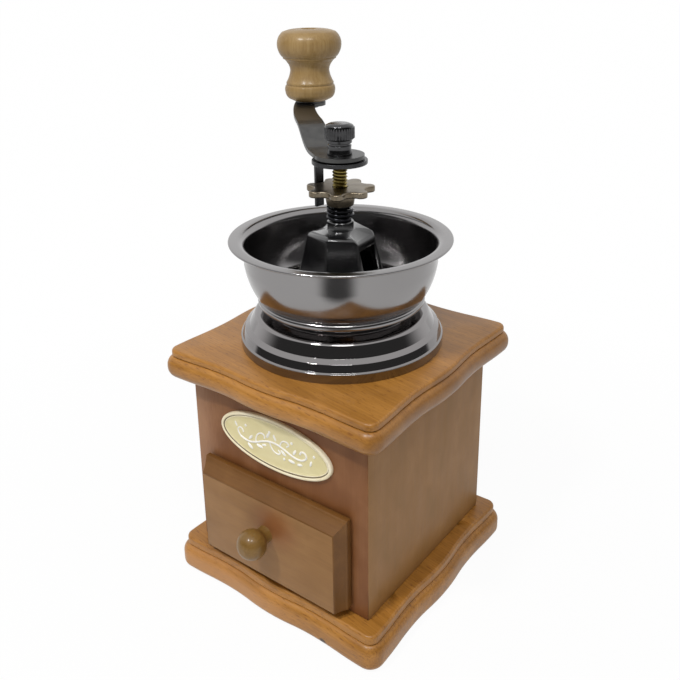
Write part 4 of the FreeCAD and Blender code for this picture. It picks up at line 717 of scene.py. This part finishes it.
for cube, place in cuts:
    tool = addNode(screwTree, "Transform", {"Geometry": cube, "Translation": place})
    screwTree.links.new(tool.outputs["Geometry"], carved.inputs["Mesh 2"])
spun = addNode(screwTree, "CombineXYZ", {"Z": given["Turn"]})
aimed = addNode(screwTree, "Transform", {"Geometry": carved, "Rotation": spun})
heads = addNode(screwTree, "InstanceOnPoints", {
    "Points": given["Geometry"], "Instance": aimed, "Rotation": given["Tilt"]})
closeTree(screwTree, heads, zincSteel)

turns = [radians(screwSize["firstAngle"] + 90 * k) for k in range(4)]
housingHeads = grown("housingScrewHeads", screwTree, inMetres(screwSize["housing"]),
                     [(screwSize["circle"] * cos(t), screwSize["circle"] * sin(t), screwSize["seat"]) for t in turns])
dress(housingHeads, "housing", "zinc_steel", zincSteel, "housing_screws")
drawerScrew = grown("drawerKnobScrewHead", screwTree, {
    **inMetres(screwSize["drawer"]), "Turn": screwSize["drawerTurn"], "Tilt": (radians(-90), 0.0, 0.0)},
    [(0, drawerSize["back"], drawerKnobSize["height"])])
dress(drawerScrew, "drawer", "zinc_steel", zincSteel, "drawer_knob_screw")
print("screws made")

# collar: stepped and polished, heights above the top board
collarSize = {"deck": 105.0, "corners": [
    (40.2, 0.0), (41.1, 0.0, 0.2), (41.1, 3.7, 0.3), (40.4, 4.15, 0.15), (39.3, 6.9, 0.3), (37.4, 8.3, 0.15),
    (34.7, 13.4, 2.2), (28.5, 13.4, 0.5), (28.5, 16.5, 0.4), (17.2, 16.5), (17.2, 15.6), (27.6, 15.6),
    (27.6, 12.6), (34.0, 12.6), (36.9, 7.7), (38.6, 6.1), (39.6, 3.6), (40.2, 3.1)]}
turnedPiece("collar", roundedPath(collarSize["corners"], 8), 160, 50, "housing", "black_nickel", collarNickel,
            "collar", lift=collarSize["deck"])

# bowl: spun wall with a flat rim; heights above the collar, inside after outside
bowlSize = {"foot": 121.5, "stops": [
    (17.2, 0.0), (31.9, 0.0), (32.78, 3.27, 1.75), (33.6, 3.75), (38.45, 17.5, 34.0), (38.65, 25.4),
    (39.2, 26.0, -0.65), (43.8, 26.15), (44.3, 26.6, 0.5), (43.85, 27.1, 0.5), (41.2, 27.1),
    (37.6, 23.9, 3.6), (37.4, 17.5), (32.4, 4.0, -33.0), (31.0, 1.0, -3.0), (17.2, 1.0)]}
turnedPiece("beanBowl", arcPath(bowlSize["stops"], 12), 192, 50, "housing", "black_nickel", bowlNickel,
            "hopper_bowl", lift=bowlSize["foot"])
print("bowl and collar made")

# hub: six-sided black casting with soft edges, a round foot, two bean inlets and a bearing sleeve
hubSize = {"corners": (-26, 37, 105, 154, 217, 285), "round": 2.0, "inletTurn": 5.5,  # angles in degrees
           "inletLow": (5.2, -5.8, 125.0), "inletHigh": (34.8, 5.8, 145.5),
           "fall": 2.4, "fallAbove": 149.0, "fallNear": 24.0, "fallFar": 40.0,
           "levels": [  # radius, height, 1 where six-sided: up the outside, then down the bore and the hollow
               (24.0, 122.5, 0), (24.0, 124.6, 0), (23.6, 125.0, 0), (19.9, 125.0, 1), (19.3, 125.3, 1),
               (19.0, 126.0, 1), (13.7, 149.2, 1), (13.5, 150.1, 1), (13.0, 150.75, 1), (12.3, 151.15, 1),
               (11.4, 151.35, 1), (5.9, 151.4, 0), (5.35, 151.5, 0), (5.2, 151.8, 0), (5.2, 154.6, 0),
               (4.95, 154.9, 0), (3.55, 154.9, 0), (3.55, 133.4, 0), (5.2, 133.4, 0), (5.2, 146.0, 0),
               (11.4, 146.0, 1), (17.2, 122.5, 1)]}


def hubRing(radius, height, cast):  # the roof falls towards the two inlets
    corners = [(radius * cos(radians(a)), radius * sin(radians(a)), hubSize["round"]) for a in hubSize["corners"]]
    ring = []
    for spot in roundedPath(corners[-1:] + corners + corners[:1])[1:-1]:
        if not cast:
            spot = spot.normalized() * radius
        off = abs((degrees(atan2(spot.y, spot.x)) - hubSize["inletTurn"] + 90) % 180 - 90)
        share = min(1.0, max(0.0, (hubSize["fallFar"] - off) / (hubSize["fallFar"] - hubSize["fallNear"])))
        falls = cast and height > hubSize["fallAbove"]
        ring.append((spot.x, spot.y, height - (hubSize["fall"] * share if falls else 0.0)))
    return ring


rings = [hubRing(*level) for level in hubSize["levels"]]
faces = ringFaces([*range(len(rings)), 0], len(rings[0]))
burrHub = newPiece("burrHub", solidFrom("burrHub", sum(rings, []), faces), 35)
inlets = bmesh.new()
low, high = Vector(hubSize["inletLow"]), Vector(hubSize["inletHigh"])
for turn in (0, 180):
    bmesh.ops.create_cube(inlets, size=mm, matrix=Matrix.Rotation(radians(hubSize["inletTurn"] + turn), 4, "Z")
                          @ Matrix.Translation((low + high) / 2 * mm) @ Matrix.Diagonal((*(high - low), 1)))
cutAway(burrHub, inlets)
dress(burrHub, "housing", "hub_black", hubEnamel, "burr_hub")

# spring and threads: a round wire or a ridge wound along a helix
windSize = {
    "spring": {"Turns": 2.6, "Radius": 4.65, "Rise": 4.6, "Bottom": 155.8, "Wire": 0.78, "Sides": 14, "Steps": 44},
    "thread": {"Turns": 10.0, "Radius": 2.5, "Rise": 12.6, "Bottom": 167.6, "Wire": 0.47, "Sides": 4, "Steps": 40},
    "stud": {"Turns": 10.0, "Radius": 2.03, "Rise": 8.0, "Bottom": 181.3, "Wire": 0.37, "Sides": 4, "Steps": 32}}
windTree, given = newTree("windings", {**windSize["spring"], "Finish": None})
helix = addNode(windTree, "CurveSpiral", {
    "Resolution": given["Steps"], "Rotations": given["Turns"], "Start Radius": given["Radius"],
    "End Radius": given["Radius"], "Height": given["Rise"]})
level = addNode(windTree, "CombineXYZ", {"Z": given["Bottom"]})
raised = addNode(windTree, "Transform", {"Geometry": helix, "Translation": level})
upright = addNode(windTree, "SetCurveNormal", {"Curve": raised}, mode="Z_UP")
section = addNode(windTree, "CurvePrimitiveCircle", {
    "Resolution": given["Sides"], "Radius": given["Wire"]})
wound = addNode(windTree, "CurveToMesh", {"Curve": upright, "Profile Curve": section, "Fill Caps": True})
closeTree(windTree, wound, given["Finish"])


def winding(name, kind, sharp, body, slot, finish, *nodes):
    piece = grown(name, windTree, {**inMetres(windSize[kind]), "Finish": finish}, sharp=sharp)
    dress(piece, body, slot, finish, *nodes)


winding("coilSpring", "spring", 60, "housing", "spring_steel", springBlack, "coil_spring")

# shaft: ground journal, rolled thread above the nut, stud
shaftSize = {
    "journal": [(0, 89.0), (3.1, 89.0), (3.5, 89.4), (3.5, 158.7, 0.2), (2.9, 158.9), (2.9, 166.5), (0, 166.5)],
    "core": [(0, 166.4), (2.5, 166.4), (2.5, 181.4), (2.02, 181.45), (2.02, 189.5), (1.7, 189.8), (0, 189.8)]}
turnedPiece("shaftJournal", roundedPath(shaftSize["journal"]), 48, 40, "spindle", "thread_brass", journalSteel,
            closed=False)
turnedPiece("shaftCore", roundedPath(shaftSize["core"]), 48, 40, "spindle", "thread_brass", threadBrass, "shaft",
            closed=False)
winding("shaftThread", "thread", 30, "spindle", "thread_brass", threadBrass)
winding("studThread", "stud", 30, "spindle", "thread_brass", threadBrass)
print("spring and shaft made")

# adjusting nut, lock plate, washer and crank arm: CAD shapes with their edges rounded (width, least angle)
platesSize = {"adjusting_nut": (0.3, 45), "lock_plate": (0.35, 40), "crank_washer": (0.15, 40), "crank_arm": (0.3, 42)}
armSize = {"angle": 136.4, "bends": (13.5, 31.5), "rise": 6.9, "reach": 6.0}  # each bend spreads over twice its reach


def softenBends(mesh):  # turns the strap's two folds into bends: cut across, then lifted or lowered to a curve
    work = bmesh.new()
    work.from_mesh(mesh)
    bends, reach = armSize["bends"], armSize["reach"]
    way = Vector((cos(radians(armSize["angle"])), sin(radians(armSize["angle"])), 0))
    slope = armSize["rise"] / (bends[1] - bends[0])
    for bend in bends:
        for step in range(-6, 7):
            bmesh.ops.bisect_plane(work, geom=work.verts[:] + work.edges[:] + work.faces[:], dist=1e-7,
                                   plane_co=way * (bend + reach * step / 6) * mm, plane_no=way)
    for vert in work.verts:
        along = vert.co.dot(way) / mm
        for bend, sign in zip(bends, (1, -1)):
            near = max(0.0, 1 - abs(along - bend) / reach)
            vert.co.z += sign * slope * reach / 4 * near ** 2 * mm
    work.to_mesh(mesh)
    work.free()


for node, name, body, finish in (("adjusting_nut", "adjustingNut", "adjuster", castNut),
                                 ("lock_plate", "lockPlate", "handle", lockBlack),
                                 ("crank_washer", "crankWasher", "handle", lockBlack),
                                 ("crank_arm", "crankArm", "handle", darkPlate)):
    piece = eased(node, name, *platesSize[node])
    if node == "crank_arm":
        softenBends(piece.data)
    dress(piece, body, "dark_steel", finish, node)
print("handle plates made")

# thumb nut: turned body with a knurled band
thumbSize = {"corners": [
    (2.4, 181.4), (4.75, 181.4, 0.2), (4.9, 181.9, 0.4), (4.45, 183.6, 1.6), (4.65, 185.0, 0.3), (4.1, 185.1),
    (4.1, 185.7), (4.8, 185.85, 0.25), (4.9, 187.1, 0.2), (5.35, 187.25), (5.65, 187.6), (5.65, 191.7),
    (5.3, 192.6, 0.7), (3.7, 193.3, 1.6), (0, 193.3), (0, 190.6), (2.4, 190.6)],
    "knurls": {"Count": 34, "Ring": 5.54, "Ridge": 0.36, "Length": 4.1, "Middle": 189.75}}
turnedPiece("thumbNut", roundedPath(thumbSize["corners"]), 72, 45, "thumb_nut", "dark_steel", darkTurned, "thumb_nut")
knurlTree, given = newTree("knurls", thumbSize["knurls"])
ring = addNode(knurlTree, "CurvePrimitiveCircle", {"Resolution": given["Count"], "Radius": given["Ring"]})
ridge = addNode(knurlTree, "MeshCylinder", {
    "Vertices": 8, "Side Segments": 1, "Radius": given["Ridge"], "Depth": given["Length"]})
ridges = addNode(knurlTree, "InstanceOnPoints", {"Points": ring, "Instance": ridge})
lift = addNode(knurlTree, "CombineXYZ", {"Z": given["Middle"]})
raised = addNode(knurlTree, "Transform", {"Geometry": ridges, "Translation": lift})
closeTree(knurlTree, raised, darkTurned)
knurls = grown("thumbKnurls", knurlTree, inMetres(thumbSize["knurls"]), sharp=50)
dress(knurls, "thumb_nut", "dark_steel", darkTurned)

# grip: turned beech knob on its axle, with a groove at its waist and one above its foot
gripSize = {"axis": (-60.105, 57.238), "bottom": 189.3, "stops": [
    (2.6, 0.0), (8.0, 0.0), (8.6, 0.35, 0.6), (11.7, 3.9, 3.8), (11.6, 6.6, 4.2), (11.15, 7.1, 0.7), (10.95, 7.35),
    (11.1, 7.65), (10.9, 8.7, 1.2), (9.15, 13.8, -14.0), (10.6, 17.6, -6.0), (12.15, 19.2, -4.5), (12.5, 19.7, 0.5),
    (12.55, 20.1), (13.05, 20.35), (15.0, 25.9, 8.5), (12.4, 31.3, 6.9), (5.0, 32.55, 17.0), (4.1, 32.6),
    (3.6, 32.2, 0.6), (3.6, 29.6), (2.6, 29.6)],
    "axle": [(0, 185.7), (3.7, 185.7, 0.5), (4.2, 186.3, 0.4), (4.2, 186.8), (2.5, 186.8), (2.5, 219.0), (3.3, 219.0),
             (3.3, 220.0, 0.4), (2.3, 220.4, 0.3), (0, 220.4)],
    "washer": [(2.55, 188.3), (7.0, 188.3, 0.25), (7.0, 189.2, 0.3), (2.55, 189.2)]}
turnedPiece("crankGrip", arcPath(gripSize["stops"]), 112, 60, "grip", "grip_wood", gripBeech, "crank_grip",
            centre=gripSize["axis"], lift=gripSize["bottom"])
# the axle is zinc plated steel, but takes the dark turned finish as painted shade in the recess at the grip's top
turnedPiece("gripAxle", roundedPath(gripSize["axle"]), 48, 45, "handle", "zinc_steel", darkTurned, "grip_axle",
            centre=gripSize["axis"], closed=False)
turnedPiece("gripWasher", roundedPath(gripSize["washer"]), 72, 45, "handle", "dark_steel", darkPlate, "grip_washer",
            centre=gripSize["axis"])
print("thumb nut and grip made")

# CAD nodes that stay, with their finishes
for node, material in (("base_screws", zincSteel), ("top_dowels", bareBeech), ("bearing_bridge", bridgeIron),
                       ("outer_burr", burrIron), ("inner_burr", burrIron), ("burr_pin", zincSteel)):
    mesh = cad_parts[node].data
    mesh.materials.clear()
    mesh.materials.append(material)
print("inner nodes finished")

# studio: white surroundings and floor that reflections see darker in front, a black flag, soft lamps
studio = {"worldStrength": 0.42, "front": (0.6, -0.8, -1.3), "frontDark": 0.93,
          "floor": "#F4F4F2", "floorHalf": 9000, "floorDrop": 0.05, "mirrorGlow": 0.75,
          "glowNear": 0.95, "glowFar": 0.997, "near": 0.12, "far": 0.3,
          "flag": (0.0716, -0.1088, 0.084), "flagRadius": 0.056, "flagDark": 0.88, "flagSoft": 0.65,
          "lamps": [("keyLamp", (-0.06, -0.5, 0.78), (0.12, 0.07), 3.2),
                    ("overLamp", (0.28, -0.36, 0.84), (0.31, 0.1), 2.1)]}
square = ((-1, -1), (1, -1), (1, 1), (-1, 1))
world = bpy.data.worlds.new("studio")
scene.world = world
world.use_nodes = True
tree = world.node_tree
tree.nodes.clear()
dim = 1.0 - studio["worldStrength"]
path = addNode(tree, "LightPath").outputs
seen = addNode(tree, "Math", [path["Is Camera Ray"], path["Is Transmission Ray"]], operation="MAXIMUM")
strength = addNode(tree, "Math", [seen, dim, studio["worldStrength"]], operation="MULTIPLY_ADD")
toward = addNode(tree, "TexCoord").outputs["Generated"]  # in a world this is the direction looked in
high = addNode(tree, "SeparateXYZ", {"Vector": toward}).outputs["Z"]
ahead = addNode(tree, "VectorMath", [toward, studio["front"]], operation="DOT_PRODUCT")
dark = studio["frontDark"]  # the dim front half of the room, from the horizon to under the lamps
for value, first, last in ((high, -0.02, 0.03), (high, 0.74, 0.62), (ahead, -0.6, -0.3)):
    shade = addNode(tree, "MapRange", [value, first, last], interpolation_type="SMOOTHSTEP")
    dark = addNode(tree, "Math", [dark, shade], operation="MULTIPLY")
mirrored = addNode(tree, "Math", [dim, dark], operation="SUBTRACT")
strength = addNode(tree, "Math", [path["Is Glossy Ray"], mirrored, strength], operation="MULTIPLY_ADD")
sky = addNode(tree, "Background", {"Color": (1, 1, 1, 1), "Strength": strength})
addNode(tree, "OutputWorld", {"Surface": sky})


def stageSheet(name, corners):  # a bare sheet of the studio, with an empty material
    sheet = newThing(name, meshFrom(name, corners, [[0, 1, 2, 3]]))
    material, tree, place = newFinish(name)
    sheet.data.materials.append(material)
    sheet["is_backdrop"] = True
    return tree, place, addNode(tree, "LightPath").outputs


def closeSheet(tree, share, first, second):  # mixes the sheet's two shaders by share
    mixed = addNode(tree, "MixShader", [share, first, second])
    addNode(tree, "OutputMaterial", {"Surface": mixed})


reach = studio["floorHalf"]
tree, place, path = stageSheet("floor", [(x * reach, y * reach, -studio["floorDrop"]) for x, y in square])
matte = addNode(tree, "BsdfDiffuse", {"Color": linear(studio["floor"])})
glow = addNode(tree, "Emission", {"Color": (1, 1, 1, 1), "Strength": 1.0})
seen = addNode(tree, "Math", [path["Is Glossy Ray"], studio["mirrorGlow"], path["Is Camera Ray"]],
               operation="MULTIPLY_ADD")
away = addNode(tree, "VectorMath", [place], operation="LENGTH")
glowShare = addNode(tree, "MapRange", [away, studio["near"], studio["far"], studio["glowNear"], studio["glowFar"]])
closeSheet(tree, addNode(tree, "Math", [seen, glowShare], operation="MULTIPLY"), matte, glow)

middle, radius = Vector(studio["flag"]), studio["flagRadius"]
facing = Vector((0, 0, 0.12)) - middle
across = facing.cross(Vector((0, 0, 1))).normalized() * radius
upward = across.cross(facing).normalized() * radius
tree, place, path = stageSheet("flag0", [(middle + across * i + upward * j) / mm for i, j in square])
away = addNode(tree, "VectorMath", [place, middle], operation="DISTANCE")
inside = addNode(tree, "MapRange", [away, radius * (1 - studio["flagSoft"]), radius, studio["flagDark"], 0.0],
                 interpolation_type="SMOOTHSTEP")
share = addNode(tree, "Math", [inside, path["Is Glossy Ray"]], operation="MULTIPLY")
closeSheet(tree, share, addNode(tree, "BsdfTransparent"), addNode(tree, "BsdfDiffuse", {"Color": (0, 0, 0, 1)}))

for name, place, spread, power in studio["lamps"]:
    lamp = bpy.data.lights.new(name, "AREA")
    lamp.shape = "ELLIPSE"
    lamp.size, lamp.size_y = spread
    lamp.energy = power
    holder = newThing(name, lamp)
    holder.location = place
    holder.rotation_euler = (Vector((0, 0, 0.1)) - Vector(place)).to_track_quat("-Z", "Y").to_euler()

# camera at the photograph's angle
view = {"place": (0.18238, -0.24147, 0.25029), "way": (-0.57099, 0.75446, -0.32365), "roll": -0.773, "lens": 42.808,
        "shiftY": -0.1476, "sensor": 36.0, "clip": 0.01}
camera = newThing("camera", bpy.data.cameras.new("camera"))
facing = Vector(view["way"]).to_track_quat("-Z", "Y").to_matrix().to_4x4()
camera.matrix_world = Matrix.Translation(view["place"]) @ facing @ Matrix.Rotation(radians(view["roll"]), 4, "Z")
camera.data.lens, camera.data.sensor_width = view["lens"], view["sensor"]
camera.data.shift_y, camera.data.clip_start = view["shiftY"], view["clip"]
scene.camera = camera
scene.view_settings.view_transform = "Standard"

bpy.context.view_layer.update()
low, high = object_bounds()
